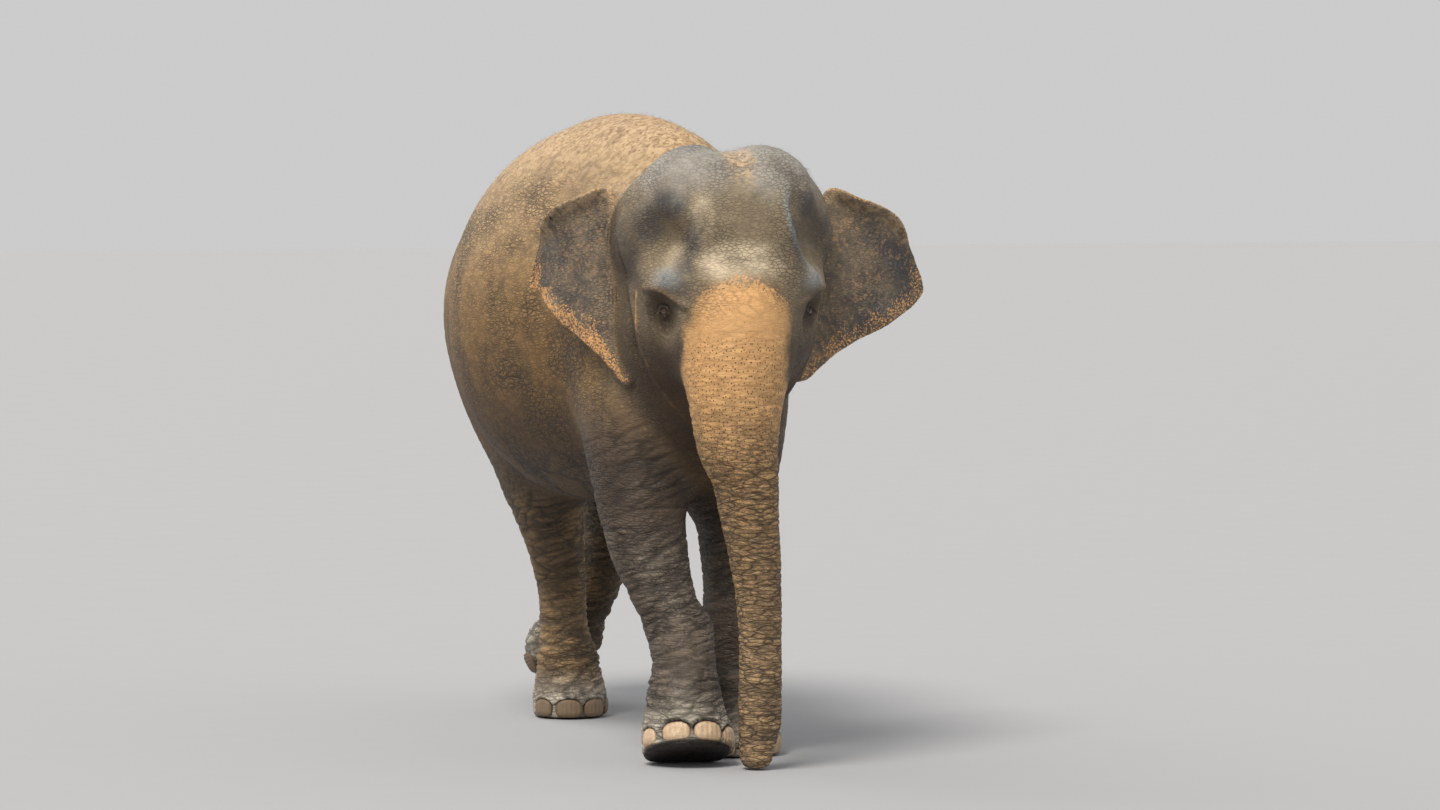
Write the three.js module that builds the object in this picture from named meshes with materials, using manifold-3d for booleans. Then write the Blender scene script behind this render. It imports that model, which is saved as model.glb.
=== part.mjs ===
// Asian elephant cow, walking: a still, life-size museum model.
// Millimetres, +Z up. The animal faces -Y and its left side is +X. The origin is on the floor,
// under the middle of the model's box.
//
// The whole animal is one signed field, below zero inside it and near the distance to the skin.
// Each named part is the field meshed on its own grid, then parted from its neighbours by thin cuts.
import * as THREE from 'three';
import { mergeVertices } from 'three/addons/utils/BufferGeometryUtils.js';
import Module from 'manifold-3d';

const wasm = await Module();
wasm.setup();

// ---------------------------------------------------------------- driving dimensions
const GAP = 0.4; // clearance between parts that touch
const CENTRE_X = 90.9; // middle of the model's box, in the frame that the shapes are written in
const CENTRE_Y = -167;

const SWAY = -50; // the trunk of the body leans over the right legs
const HEAD_AT = [-62, -1280, 1718]; // under the domes, at the height of the eyes
const HEAD_YAW = -7.5; // degrees, turned to its right
const HEAD_NOD = 3; // degrees, chin in

const EYE_RADIUS = 20;
const EYE_AT = [266, -158, 6]; // centre of the left eyeball, in the head's frame

const EAR_ROOT = [366, 180, 90]; // middle of the ear's root, in the head's frame
const EAR_SWING = { left: 20, right: 57 }; // degrees back from straight out to the side
const EAR_THICK = 22; // at the root
const EAR_THIN = 10; // at the rim

const TRUNK_CUTS = [1080, 740, 400]; // heights that part the trunk into its lengths

// Feet: nails are step degrees apart around the sole's middle.
const FOREFOOT = { radius: 170, nails: 5, step: 41, nailWidth: 114 };
const HINDFOOT = { radius: 146, nails: 4, step: 45, nailWidth: 106 };
const ANKLE = 235; // height of the cut above the sole, in the foot's frame
const NAIL_HEIGHT = 74;
const NAIL_THICK = 16;

const LEG_TOP = 890; // height of the cut between the body and the legs
const TEAT = [24, 24, 62]; // radii

const TAIL_ROOT = 1480; // height where the tail leaves the body
const TUFT_TOP = 1010;

// ---------------------------------------------------------------- small maths
const radians = (degrees) => (degrees * Math.PI) / 180;
const clamp = (v, low, high) => Math.min(Math.max(v, low), high);
const smoothstep = (low, high, v) => {
  const t = clamp((v - low) / (high - low), 0, 1);
  return t * t * (3 - 2 * t);
};

/** Union of two fields, rounded over a reach of k. */
const join = (a, b, k) => {
  const h = Math.max(k - Math.abs(a - b), 0);
  return Math.min(a, b) - (h * h) / (4 * k);
};
/** Intersection of two fields, rounded over a reach of k. */
const keep = (a, b, k) => -join(-a, -b, k);

/** A frame at a place, turned by yaw about Z, then tilt about X, then roll about Y. */
function frame(at, { yaw = 0, tilt = 0, roll = 0 } = {}) {
  const turn = new THREE.Matrix4().makeRotationFromEuler(
    new THREE.Euler(radians(tilt), radians(roll), radians(yaw), 'ZXY'),
  );
  return turn.setPosition(...at);
}

/** The 12 numbers that take a world point into a frame. */
function inward(matrix) {
  const e = matrix.clone().invert().elements;
  return [e[0], e[4], e[8], e[12], e[1], e[5], e[9], e[13], e[2], e[6], e[10], e[14]];
}

/** A field given in a frame's own coordinates, as a field of the world. */
function placed(matrix, field) {
  const m = inward(matrix);
  return (x, y, z) =>
    field(
      m[0] * x + m[1] * y + m[2] * z + m[3],
      m[4] * x + m[5] * y + m[6] * z + m[7],
      m[8] * x + m[9] * y + m[10] * z + m[11],
    );
}

/** A smooth curve through stations [where, value, value, ...], as a function of where. */
function along(stations) {
  const last = stations.length - 1;
  const slope = stations.map((row, i) => {
    const before = stations[Math.max(i - 1, 0)];
    const after = stations[Math.min(i + 1, last)];
    return row.map((_, c) => (after[c] - before[c]) / (after[0] - before[0]));
  });
  const out = new Float64Array(stations[0].length);
  return (where) => {
    let i = 0;
    while (i < last - 1 && where > stations[i + 1][0]) i += 1;
    const [a, b, ma, mb] = [stations[i], stations[i + 1], slope[i], slope[i + 1]];
    const step = b[0] - a[0];
    const t = clamp((where - a[0]) / step, 0, 1);
    const [s, t2] = [1 - t, t * t];
    for (let c = 1; c < out.length; c += 1)
      out[c] = s * s * ((1 + 2 * t) * a[c] + t * step * ma[c]) + t2 * ((3 - 2 * t) * b[c] - s * step * mb[c]);
    return out;
  };
}

/** A field that is only worked out near its box, and is the distance to that box elsewhere. */
function near(low, high, field, margin = 200) {
  return (x, y, z) => {
    const dx = Math.max(low[0] - x, x - high[0], 0);
    const dy = Math.max(low[1] - y, y - high[1], 0);
    const dz = Math.max(low[2] - z, z - high[2], 0);
    const away = Math.sqrt(dx * dx + dy * dy + dz * dz);
    return away > margin ? away : field(x, y, z);
  };
}

// ---------------------------------------------------------------- shapes as fields
/** An ellipsoid with its centre and three radii, turned in place. */
function ellipsoid(centre, [rx, ry, rz], turn = {}) {
  return placed(frame(centre, turn), (x, y, z) => {
    const [p, q, r] = [x / rx, y / ry, z / rz];
    const k0 = Math.sqrt(p * p + q * q + r * r);
    const k1 = Math.sqrt((p / rx) ** 2 + (q / ry) ** 2 + (r / rz) ** 2);
    return (k0 * (k0 - 1)) / Math.max(k1, 1e-9);
  });
}

/** Distance-like value of an ellipse with half sizes a and b, at (u, v) from its centre. */
function inEllipse(u, v, a, b) {
  const k = Math.sqrt((u * u) / (a * a) + (v * v) / (b * b));
  return k < 1e-6 ? -Math.min(a, b) : Math.sqrt(u * u + v * v) * (1 - 1 / k);
}

/** A field whose sections change along one axis, evened out by how fast they change. */
function evened(section) {
  const step = 12;
  return (p, q, where) => {
    const value = section(p, q, where);
    const rise = (section(p, q, where + step) - section(p, q, where - step)) / (2 * step);
    return value / Math.sqrt(1 + rise * rise);
  };
}

/** An upright limb of oval sections: stations [z, middle x, middle y, half width, half depth]. */
function limb(stations, { lowEnd = 40, highEnd = 60 } = {}) {
  const at = along(stations);
  const [low, high] = [stations[0][0], stations[stations.length - 1][0]];
  const side = evened((x, y, z) => {
    const [, mx, my, a, b] = at(z);
    return inEllipse(x - mx, y - my, a, b);
  });
  const reach = (axis, sign) => Math.max(...stations.map((s) => sign * s[axis] + s[axis + 2]));
  return near(
    [-reach(1, -1), -reach(2, -1), low],
    [reach(1, 1), reach(2, 1), high],
    (x, y, z) => keep(keep(side(x, y, z), z - high, highEnd), low - z, lowEnd),
  );
}

// ---------------------------------------------------------------- body
const SPINE_RADIUS = 110; // of the ridge along the back
const SPINE_SUNK = 12; // under the line of the back

/** Barrel of the body: stations [y, top, bottom, half width, height of the widest line]. */
const barrelAt = along([
  [-1010, 2080, 1250, 235, 1700],
  [-820, 2305, 1100, 350, 1700],
  [-500, 2395, 1010, 455, 1690],
  [-150, 2430, 945, 560, 1670],
  [200, 2412, 905, 602, 1665],
  [520, 2330, 945, 545, 1660],
  [820, 2175, 1060, 430, 1650],
  [1060, 1960, 1240, 300, 1660],
  [1230, 1790, 1400, 170, 1660],
]);
const barrelSide = evened((x, z, y) => {
  const [, top, bottom, half, widest] = barrelAt(y);
  const round = inEllipse(x, z - widest, half, z > widest ? top - widest : widest - bottom);
  const ridge = Math.hypot(x, z - (top - SPINE_SUNK - SPINE_RADIUS)) - SPINE_RADIUS;
  return join(round, ridge, 100);
});
const barrel = (x, y, z) => keep(barrelSide(x - SWAY, z, y), Math.abs(y - 25) - 1130, 330);

const rump = ellipsoid([SWAY, 830, 1630], [345, 360, 430], { tilt: -14 });
const shoulders = [-1, 1].map((side) =>
  ellipsoid([SWAY + side * 178, -770, 1560], [200, 290, 540], { tilt: 8, roll: side * 5 }),
);
const chest = ellipsoid([SWAY, -860, 1310], [250, 290, 270]);
const udder = [-1, 1].map((side) => ellipsoid([SWAY + side * 85, -720, 1045], [80, 105, 100]));
const teatFrames = [-1, 1].map((side) =>
  frame([SWAY + side * 108, -780, 975], { tilt: -18, roll: side * 14 }),
);

const nape = ellipsoid([SWAY - 5, -960, 1830], [250, 360, 320], { tilt: -6 });
const throat = ellipsoid([SWAY - 10, -1010, 1560], [220, 330, 290], { tilt: 14 });

function bodyField(x, y, z) {
  let d = barrel(x, y, z);
  d = join(d, rump(x, y, z), 300);
  for (const shoulder of shoulders) d = join(d, shoulder(x, y, z), 160);
  d = join(d, chest(x, y, z), 180);
  for (const half of udder) d = join(d, half(x, y, z), 70);
  d = join(d, nape(x, y, z), 240);
  return join(d, throat(x, y, z), 220);
}

// ---------------------------------------------------------------- legs
/** A foot in its own frame: sole just under z = 0, toes towards -Y. */
function foot(radius) {
  const side = limb(
    [
      [-60, 0, 0, radius * 0.98, radius],
      [40, 0, 0, radius, radius * 1.02],
      [110, 0, 4, radius * 0.955, radius * 0.96],
      [190, 0, 14, radius * 0.83, radius * 0.83],
      [290, 0, 20, radius * 0.76, radius * 0.78],
    ],
    { lowEnd: 10 },
  );
  return (x, y, z) => keep(side(x, y, z), -4 - z, 30);
}

const LEGS = {
  foreleg_right: {
    front: true,
    footAt: frame([-206, -1066, -5], { tilt: -21, yaw: 10, roll: 9 }),
    footBack: 125, // from the heel's pivot forward to the middle of the sole
    shape: limb([
      [120, -194, -1185, 128, 132],
      [216, -193, -1178, 132, 136],
      [385, -181, -1130, 122, 134],
      [539, -190, -1066, 134, 150],
      [618, -228, -1032, 127, 146],
      [772, -260, -966, 146, 170],
      [1058, -272, -860, 172, 215],
      [1330, -262, -800, 178, 245],
      [1620, -240, -770, 120, 190],
    ], { highEnd: 200 }),
  },
  foreleg_left: {
    front: true,
    footAt: frame([118, -872, 0], { yaw: 4 }),
    footBack: 0,
    shape: limb([
      [120, 118, -862, 124, 130],
      [216, 120, -852, 122, 130],
      [385, 128, -832, 118, 130],
      [539, 138, -822, 130, 144],
      [640, 144, -812, 124, 144],
      [800, 150, -795, 140, 170],
      [1058, 162, -765, 152, 215],
      [1330, 165, -760, 152, 240],
      [1620, 150, -760, 110, 190],
    ], { highEnd: 200 }),
  },
  hindleg_right: {
    front: false,
    footAt: frame([-40, 660, 0], { yaw: 4 }),
    footBack: 0,
    shape: limb([
      [90, -38, 664, 116, 124],
      [166, -27, 676, 108, 122],
      [374, -44, 712, 98, 126],
      [505, -56, 700, 97, 116],
      [713, -108, 640, 118, 156],
      [950, -165, 650, 158, 235],
      [1250, -222, 740, 165, 290],
      [1500, -215, 780, 150, 270],
      [1700, -190, 800, 110, 220],
    ], { highEnd: 200 }),
  },
  hindleg_left: {
    front: false,
    footAt: frame([122, 1280, 92], { tilt: 70, yaw: 4 }),
    footBack: -118,
    shape: limb([
      [240, 124, 1110, 90, 104],
      [330, 138, 1056, 98, 122],
      [430, 166, 1010, 102, 138],
      [550, 188, 960, 108, 156],
      [700, 212, 885, 124, 190],
      [880, 218, 822, 148, 230],
      [1150, 200, 790, 170, 285],
      [1450, 180, 800, 150, 270],
      [1700, 150, 810, 110, 220],
    ], { highEnd: 200 }),
  },
};

for (const leg of Object.values(LEGS)) {
  Object.assign(leg, leg.front ? FOREFOOT : HINDFOOT);
  leg.footFrame = leg.footAt.clone().multiply(new THREE.Matrix4().makeTranslation(0, -leg.footBack, 0));
  leg.foot = placed(leg.footFrame, foot(leg.radius));
  leg.field = (x, y, z) => join(leg.shape(x, y, z), leg.foot(x, y, z), 70);
}

// ---------------------------------------------------------------- head, in its own frame
const headFrame = frame(HEAD_AT, { yaw: HEAD_YAW, tilt: HEAD_NOD });
const both = (make) => [-1, 1].map(make);

const skull = ellipsoid([0, 60, 260], [372, 315, 320]);
const domes = both((s) => ellipsoid([s * 128, 15, 420], [192, 245, 188], { roll: s * 12 }));
const forehead = ellipsoid([0, -115, 180], [268, 215, 330], { tilt: 4 });
const temples = both((s) => ellipsoid([s * 292, 110, 290], [112, 165, 170]));
const brows = both((s) => ellipsoid([s * 216, -130, 104], [86, 112, 66], { yaw: s * -28 }));
const cheekBones = both((s) => ellipsoid([s * 203, -30, -45], [98, 185, 170]));
const jaw = ellipsoid([0, 130, -95], [328, 275, 340], { tilt: 10 });
const chin = ellipsoid([0, -130, -360], [98, 175, 82], { tilt: 28 });
const lipBase = ellipsoid([0, -200, -150], [196, 180, 220]);
const templeHollows = both((s) => ellipsoid([s * 318, -185, 245], [70, 105, 105], { yaw: s * -32 }));
const cleft = ellipsoid([0, -20, 655], [60, 260, 62]);
const sockets = both((s) => ellipsoid([s * 313, -178, -20], [44, 56, 82], { yaw: s * -30 }));

function headOwn(x, y, z) {
  let d = skull(x, y, z);
  for (const shape of domes) d = join(d, shape(x, y, z), 70);
  d = join(d, forehead(x, y, z), 130);
  for (const shape of temples) d = join(d, shape(x, y, z), 90);
  d = join(d, jaw(x, y, z), 110);
  for (const shape of cheekBones) d = join(d, shape(x, y, z), 150);
  d = join(d, lipBase(x, y, z), 120);
  d = join(d, chin(x, y, z), 90);
  for (const shape of templeHollows) d = keep(d, -shape(x, y, z), 90);
  d = keep(d, -cleft(x, y, z), 60);
  for (const shape of brows) d = join(d, shape(x, y, z), 110);
  for (const shape of sockets) d = keep(d, -shape(x, y, z), 55);
  return d;
}
const headField = placed(headFrame, headOwn);

// ---------------------------------------------------------------- trunk
const trunk = limb(
  [
    [-60, 10, -1398, 50, 54],
    [60, 10, -1400, 65, 66],
    [160, 16, -1416, 81, 80],
    [283, 8, -1444, 81, 88],
    [430, -3, -1478, 79, 90],
    [651, -24, -1514, 85, 98],
    [810, -47, -1532, 97, 110],
    [939, -70, -1544, 108, 122],
    [1072, -90, -1554, 122, 136],
    [1186, -121, -1560, 148, 148],
    [1389, -134, -1560, 170, 160],
    [1600, -127, -1545, 172, 168],
    [1758, -112, -1520, 172, 166],
    [1900, -98, -1470, 160, 130],
  ],
  { highEnd: 120 },
);
// ---------------------------------------------------------------- tail
const tail = limb(
  [
    [880, SWAY + 70, 1332, 16, 18],
    [1200, SWAY + 48, 1318, 24, 27],
    [1500, SWAY + 16, 1282, 36, 42],
    [1700, SWAY, 1228, 52, 62],
    [1850, SWAY, 1130, 60, 80],
  ],
  { lowEnd: 16 },
);
const tuft = limb(
  [
    [630, SWAY + 78, 1330, 10, 22],
    [720, SWAY + 76, 1332, 24, 48],
    [860, SWAY + 71, 1333, 32, 50],
    [1010, SWAY + 62, 1328, 24, 28],
    [1060, SWAY + 59, 1326, 20, 24],
  ],
  { lowEnd: 20 },
);

// ---------------------------------------------------------------- the whole animal
/** Head and trunk. */
const faceField = (x, y, z) => join(headField(x, y, z), trunk(x, y, z), 110);

/** Body, legs and head, joined softly. The legs don't blend with each other or with the trunk. */
function animal(legs) {
  return (x, y, z) => {
    const nearest = Math.min(...legs.map((leg) => leg.field(x, y, z)));
    const d = join(bodyField(x, y, z), nearest, 130);
    return join(d, faceField(x, y, z), 1 + 149 * smoothstep(500, 1000, z));
  };
}
const untailed = animal(Object.values(LEGS));
const elephant = (x, y, z) => join(untailed(x, y, z), tail(x, y, z), 70);

// ---------------------------------------------------------------- meshing
/** Surface of a field inside a box, with its corners drawn onto the field. */
function surface(field, low, high, cell) {
  const count = low.map((v, i) => Math.ceil((high[i] - v) / cell) + 1);
  const [nx, ny, nz] = count;
  const at = (i, j, k) => i + nx * (j + ny * k);
  const value = new Float32Array(nx * ny * nz);
  for (let k = 0; k < nz; k += 1)
    for (let j = 0; j < ny; j += 1)
      for (let i = 0; i < nx; i += 1) {
        const rim = i === 0 || j === 0 || k === 0 || i === nx - 1 || j === ny - 1 || k === nz - 1;
        const inside = field(low[0] + i * cell, low[1] + j * cell, low[2] + k * cell);
        value[at(i, j, k)] = rim ? Math.max(inside, cell * 0.5) : inside;
      }
  const corners = [];
  const cornerOf = new Map();
  const edges = [];
  for (let a = 0; a < 8; a += 1)
    for (const bit of [1, 2, 4]) if (!(a & bit)) edges.push([a, a | bit]);
  const offset = (c) => [c & 1, (c >> 1) & 1, (c >> 2) & 1];
  for (let k = 0; k < nz - 1; k += 1)
    for (let j = 0; j < ny - 1; j += 1)
      for (let i = 0; i < nx - 1; i += 1) {
        const v = Array.from({ length: 8 }, (_, c) => {
          const [p, q, r] = offset(c);
          return value[at(i + p, j + q, k + r)];
        });
        let crossings = 0;
        const middle = [0, 0, 0];
        for (const [a, b] of edges) {
          if (v[a] < 0 === v[b] < 0) continue;
          const t = v[a] / (v[a] - v[b]);
          const [from, to] = [offset(a), offset(b)];
          for (let axis = 0; axis < 3; axis += 1) middle[axis] += from[axis] + (to[axis] - from[axis]) * t;
          crossings += 1;
        }
        if (!crossings) continue;
        cornerOf.set(at(i, j, k), corners.length / 3);
        corners.push(...middle.map((m, axis) => low[axis] + ([i, j, k][axis] + m / crossings) * cell));
      }
  settle(field, corners, cell);
  const triangles = [];
  const stride = [1, nx, nx * ny];
  const steps = [[1, 2], [2, 0], [0, 1]];
  for (let k = 0; k < nz - 1; k += 1)
    for (let j = 0; j < ny - 1; j += 1)
      for (let i = 0; i < nx - 1; i += 1)
        for (let axis = 0; axis < 3; axis += 1) {
          const here = at(i, j, k);
          const [a, b] = [value[here] < 0, value[here + stride[axis]] < 0];
          if (a === b) continue;
          const [u, v] = steps[axis].map((s) => stride[s]);
          const ring = [here - u - v, here - v, here, here - u].map((c) => cornerOf.get(c));
          if (!a) ring.reverse();
          triangles.push(...split(corners, ring));
        }
  return solid(corners, triangles);
}

/** Moves each corner onto the surface of the field, by at most most of a cell. */
function settle(field, corners, cell) {
  const h = 1.5;
  for (let c = 0; c < corners.length; c += 3) {
    let [x, y, z] = corners.slice(c, c + 3);
    const start = [x, y, z];
    for (let pass = 0; pass < 4; pass += 1) {
      const d = field(x, y, z);
      const g = [
        (field(x + h, y, z) - field(x - h, y, z)) / (2 * h),
        (field(x, y + h, z) - field(x, y - h, z)) / (2 * h),
        (field(x, y, z + h) - field(x, y, z - h)) / (2 * h),
      ];
      const size = Math.max(g[0] ** 2 + g[1] ** 2 + g[2] ** 2, 0.05);
      x = clamp(x - (d * g[0]) / size, start[0] - cell * 0.7, start[0] + cell * 0.7);
      y = clamp(y - (d * g[1]) / size, start[1] - cell * 0.7, start[1] + cell * 0.7);
      z = clamp(z - (d * g[2]) / size, start[2] - cell * 0.7, start[2] + cell * 0.7);
    }
    [corners[c], corners[c + 1], corners[c + 2]] = [x, y, z];
  }
}

/** Two triangles of a four-cornered ring, along its shorter diagonal. */
function split(corners, [a, b, c, d]) {
  const apart = (p, q) =>
    Math.hypot(...[0, 1, 2].map((axis) => corners[p * 3 + axis] - corners[q * 3 + axis]));
  return apart(a, c) < apart(b, d) ? [a, b, c, a, c, d] : [a, b, d, b, c, d];
}

/** A solid from a closed mesh, whose boolean cuts and joins come from the library. */
function solid(corners, triangles) {
  const vertProperties = Float32Array.from(corners);
  return new wasm.Manifold(
    new wasm.Mesh({ numProp: 3, vertProperties, triVerts: Uint32Array.from(triangles) }),
  );
}

function solidOf(geometry) {
  const bare = geometry.index ? geometry.clone() : geometry;
  bare.deleteAttribute('normal');
  bare.deleteAttribute('uv');
  const merged = mergeVertices(bare, 1e-4);
  return solid([...merged.attributes.position.array], [...merged.index.array]);
}

function geometryOf(made) {
  const { numProp, vertProperties, triVerts } = made.getMesh();
  const places = new Float32Array((vertProperties.length / numProp) * 3);
  for (let v = 0; v < places.length / 3; v += 1)
    for (let axis = 0; axis < 3; axis += 1) places[v * 3 + axis] = vertProperties[v * numProp + axis];
  const geometry = new THREE.BufferGeometry();
  geometry.setAttribute('position', new THREE.BufferAttribute(places, 3));
  geometry.setIndex([...triVerts]);
  geometry.computeVertexNormals();
  return geometry;
}

/** A block from one corner to the other, turned in a frame, to cut with. */
function block(low, high, matrix = new THREE.Matrix4()) {
  const geometry = new THREE.BoxGeometry(...high.map((v, i) => v - low[i]));
  geometry.translate(...high.map((v, i) => (v + low[i]) / 2));
  return solidOf(geometry.applyMatrix4(matrix));
}

// ---------------------------------------------------------------- ears
/** Outline of the left ear, seen from in front: [out from the root, up], from the top round. */
const EAR_OUTLINE = [
  [40, 346], [150, 320], [262, 286], [336, 248], [388, 196], [440, 128], [484, 70],
  [534, -28], [490, -86], [398, -128], [292, -184], [192, -226], [108, -274], [46, -334],
  [-5, -380], [-50, -360],
  [-62, -230], [-40, 0], [0, 200],
];
const EAR_MIDDLE = [170, 0];
const EAR_ROUND = 30; // corners round the rim
const EAR_RINGS = 3;

/** The right ear's lower edge is drawn in below a notch: the share of its reach that stays. */
function notched(side, x, y) {
  if (side === 'left') return 1;
  const angle = THREE.MathUtils.radToDeg(Math.atan2(y, x));
  const step = 1 - smoothstep(-10, -5, angle);
  return 1 - 0.19 * step * clamp((angle + 100) / 91, 0, 1);
}

/** How far the ear's middle sheet lies in front of its root plane. */
function earRelief(out, up, rim) {
  const reach = out / 480;
  const cup = 46 * Math.sin(Math.PI * clamp(reach, 0, 1)) - 18 * reach * reach;
  const topFold = 32 * smoothstep(0.84, 1, rim) * smoothstep(120, 240, up) * smoothstep(20, 90, out);
  const waves = 9 * Math.sin(up / 52 + out / 90) * smoothstep(0.5, 1, rim) * smoothstep(60, 200, out);
  return cup + topFold + waves;
}

function earSolid(side) {
  const sign = side === 'left' ? 1 : -1;
  const outline = new THREE.SplineCurve(EAR_OUTLINE.map(([s, t]) => new THREE.Vector2(s, t)));
  outline.points.push(outline.points[0]);
  const middle2 = new THREE.Vector2(...EAR_MIDDLE);
  const rimPoints = outline.getSpacedPoints(EAR_ROUND).slice(0, EAR_ROUND).map((point) => {
    const way = point.sub(middle2);
    return way.multiplyScalar(notched(side, way.x, way.y)).add(middle2);
  });
  const corners = [];
  const add = (out, up, front) => corners.push(sign * out, -front, up) / 3 - 1;
  const layer = (face) => {
    const middle = add(...EAR_MIDDLE, earRelief(...EAR_MIDDLE, 0) + (face * EAR_THICK) / 2);
    const rings = [];
    for (let ring = 1; ring <= EAR_RINGS; ring += 1) {
      const rim = ring / EAR_RINGS;
      rings.push(
        rimPoints.map(({ x, y }) => {
          const out = EAR_MIDDLE[0] + (x - EAR_MIDDLE[0]) * rim;
          const up = EAR_MIDDLE[1] + (y - EAR_MIDDLE[1]) * rim;
          const thick = EAR_THICK + (EAR_THIN - EAR_THICK) * clamp(out / 300, 0, 1);
          return add(out, up, earRelief(out, up, rim) + (face * thick) / 2);
        }),
      );
    }
    return { middle, rings };
  };
  const [front, back] = [layer(1), layer(-1)];
  const triangles = [];
  const quad = (a, b, c, d) => triangles.push(a, b, c, a, c, d);
  for (let i = 0; i < EAR_ROUND; i += 1) {
    const next = (i + 1) % EAR_ROUND;
    triangles.push(front.middle, front.rings[0][next], front.rings[0][i]);
    triangles.push(back.middle, back.rings[0][i], back.rings[0][next]);
    for (let ring = 1; ring < EAR_RINGS; ring += 1) {
      const [f, g] = [front.rings[ring - 1], front.rings[ring]];
      quad(f[i], f[next], g[next], g[i]);
      const [b, c] = [back.rings[ring - 1], back.rings[ring]];
      quad(b[i], c[i], c[next], b[next]);
    }
    const [f, b] = [front.rings[EAR_RINGS - 1], back.rings[EAR_RINGS - 1]];
    quad(f[i], f[next], b[next], b[i]);
  }
  if (side === 'right') triangles.reverse();
  const at = frame([sign * EAR_ROOT[0], EAR_ROOT[1], EAR_ROOT[2]], { yaw: sign * EAR_SWING[side], roll: sign * 3 });
  return moved(corners, triangles, headFrame.clone().multiply(at));
}

/** A solid from corners given in a frame. */
function moved(corners, triangles, matrix) {
  const point = new THREE.Vector3();
  for (let c = 0; c < corners.length; c += 3) {
    point.set(corners[c], corners[c + 1], corners[c + 2]).applyMatrix4(matrix);
    [corners[c], corners[c + 1], corners[c + 2]] = point.toArray();
  }
  return solid(corners, triangles);
}

// ---------------------------------------------------------------- eyes and teats
const eyeCentres = Object.fromEntries(
  [['left', 1], ['right', -1]].map(([side, sign]) => {
    const place = new THREE.Vector3(sign * EYE_AT[0], EYE_AT[1], EYE_AT[2]);
    return [side, place.applyMatrix4(headFrame)];
  }),
);

function ball(centre, radius) {
  const geometry = new THREE.SphereGeometry(radius, 10, 7);
  return solidOf(geometry.translate(centre.x, centre.y, centre.z));
}

function teatSolid(matrix) {
  const geometry = new THREE.SphereGeometry(1, 8, 6).rotateX(Math.PI / 2);
  return solidOf(geometry.scale(...TEAT).applyMatrix4(matrix));
}

// ---------------------------------------------------------------- nails
const NAIL_CORNERS = 8; // round the rim of a nail

/** A curved nail on the front of a foot, turned about its sole's middle; grow makes its pocket. */
function nailSolid(leg, degrees, size, grow = 0) {
  const halfAngle = ((leg.nailWidth * size) / 2 + grow) / leg.radius;
  const halfHeight = (NAIL_HEIGHT * (0.7 + 0.3 * size)) / 2 + grow;
  const corners = [];
  const place = (ring, i, face) => {
    const turn = (2 * Math.PI * i) / NAIL_CORNERS;
    const angle = radians(degrees) + ring * Math.cos(turn) * halfAngle;
    const up = NAIL_HEIGHT / 2 + 8 + ring * Math.sin(turn) * halfHeight;
    const skin = leg.radius * Math.hypot(Math.sin(angle), 1.02 * Math.cos(angle)) + 2;
    const dome = 8 * Math.sqrt(1 - ring * ring);
    const reach = face === 'front' ? skin + dome + grow : skin - NAIL_THICK - grow;
    return corners.push(reach * Math.sin(angle), -reach * Math.cos(angle), up) / 3 - 1;
  };
  const ringOf = (ring, face) => Array.from({ length: NAIL_CORNERS }, (_, i) => place(ring, i, face));
  const [front, back] = [place(0, 0, 'front'), place(0, 0, 'back')];
  const [inner, rim, backRim] = [ringOf(0.6, 'front'), ringOf(1, 'front'), ringOf(1, 'back')];
  const triangles = [];
  for (let i = 0; i < NAIL_CORNERS; i += 1) {
    const next = (i + 1) % NAIL_CORNERS;
    triangles.push(front, inner[i], inner[next], back, backRim[next], backRim[i]);
    triangles.push(inner[i], rim[i], rim[next], inner[i], rim[next], inner[next]);
    triangles.push(rim[i], backRim[i], backRim[next], rim[i], backRim[next], rim[next]);
  }
  return moved(corners, triangles, leg.footFrame);
}

// ---------------------------------------------------------------- parting into named solids
const FAR = 4000; // beyond all of the animal
/** All that lies on the +Z side of a plane, whose frame has its Z square to it. */
const beyond = (plane, by = GAP / 2) => block([-FAR, -FAR, by], [FAR, FAR, FAR], plane);
/** All that lies on the -Z side of it. */
const before = (plane, by = GAP / 2) => block([-FAR, -FAR, -FAR], [FAR, FAR, -by], plane);

const level = (z) => frame([0, 0, z]);
const headBack = frame([0, -1080, 1700], { yaw: HEAD_YAW, tilt: 85 }); // +Z is to the front
const neckBack = frame([0, -925, 1700], { tilt: 90 }); // +Z is to the front
const neckUnder = level(1190);
const trunkTop = frame([0, -1560, 1390], { tilt: 128 }); // +Z is down the trunk

/** A field meshed in a box, with each cutter keeping its side of a plane. */
function part(field, [low, high], cell, cutters) {
  return cutters.reduce((made, cutter) => made.intersect(cutter), surface(field, low, high, cell));
}

/** Tail and tuft, and the stump of the tail that stays on the body. */
function tailParts() {
  const whole = surface(tail, [-120, 1000, 850], [60, 1420, 1900], 38);
  return {
    stump: whole.intersect(beyond(level(TAIL_ROOT))),
    tail: whole.intersect(before(level(TAIL_ROOT))).intersect(beyond(level(TUFT_TOP))),
    tail_tuft: part(tuft, [[-90, 1240, 600], [50, 1420, 1080]], 36, [before(level(TUFT_TOP))]),
  };
}

/** The box and the cell that each big piece of the body is meshed in. */
const GRIDS = {
  torso: { box: [[-720, -1180, 790], [660, 1290, 2520]], cell: 166 },
  neck: { box: [[-480, -1180, 1100], [420, -800, 2400]], cell: 140 },
  head: { box: [[-540, -1760, 1100], [420, -760, 2400]], cell: 88 },
};

function torsoSolid(stump) {
  const neckHole = beyond(neckBack, -GAP / 2).intersect(beyond(neckUnder, -GAP / 2));
  const { box, cell } = GRIDS.torso;
  const trimmed = part(untailed, box, cell, [beyond(level(LEG_TOP))]).subtract(neckHole);
  return [stump, ...teatFrames.map(teatSolid)].reduce((made, piece) => made.add(piece), trimmed);
}

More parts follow.
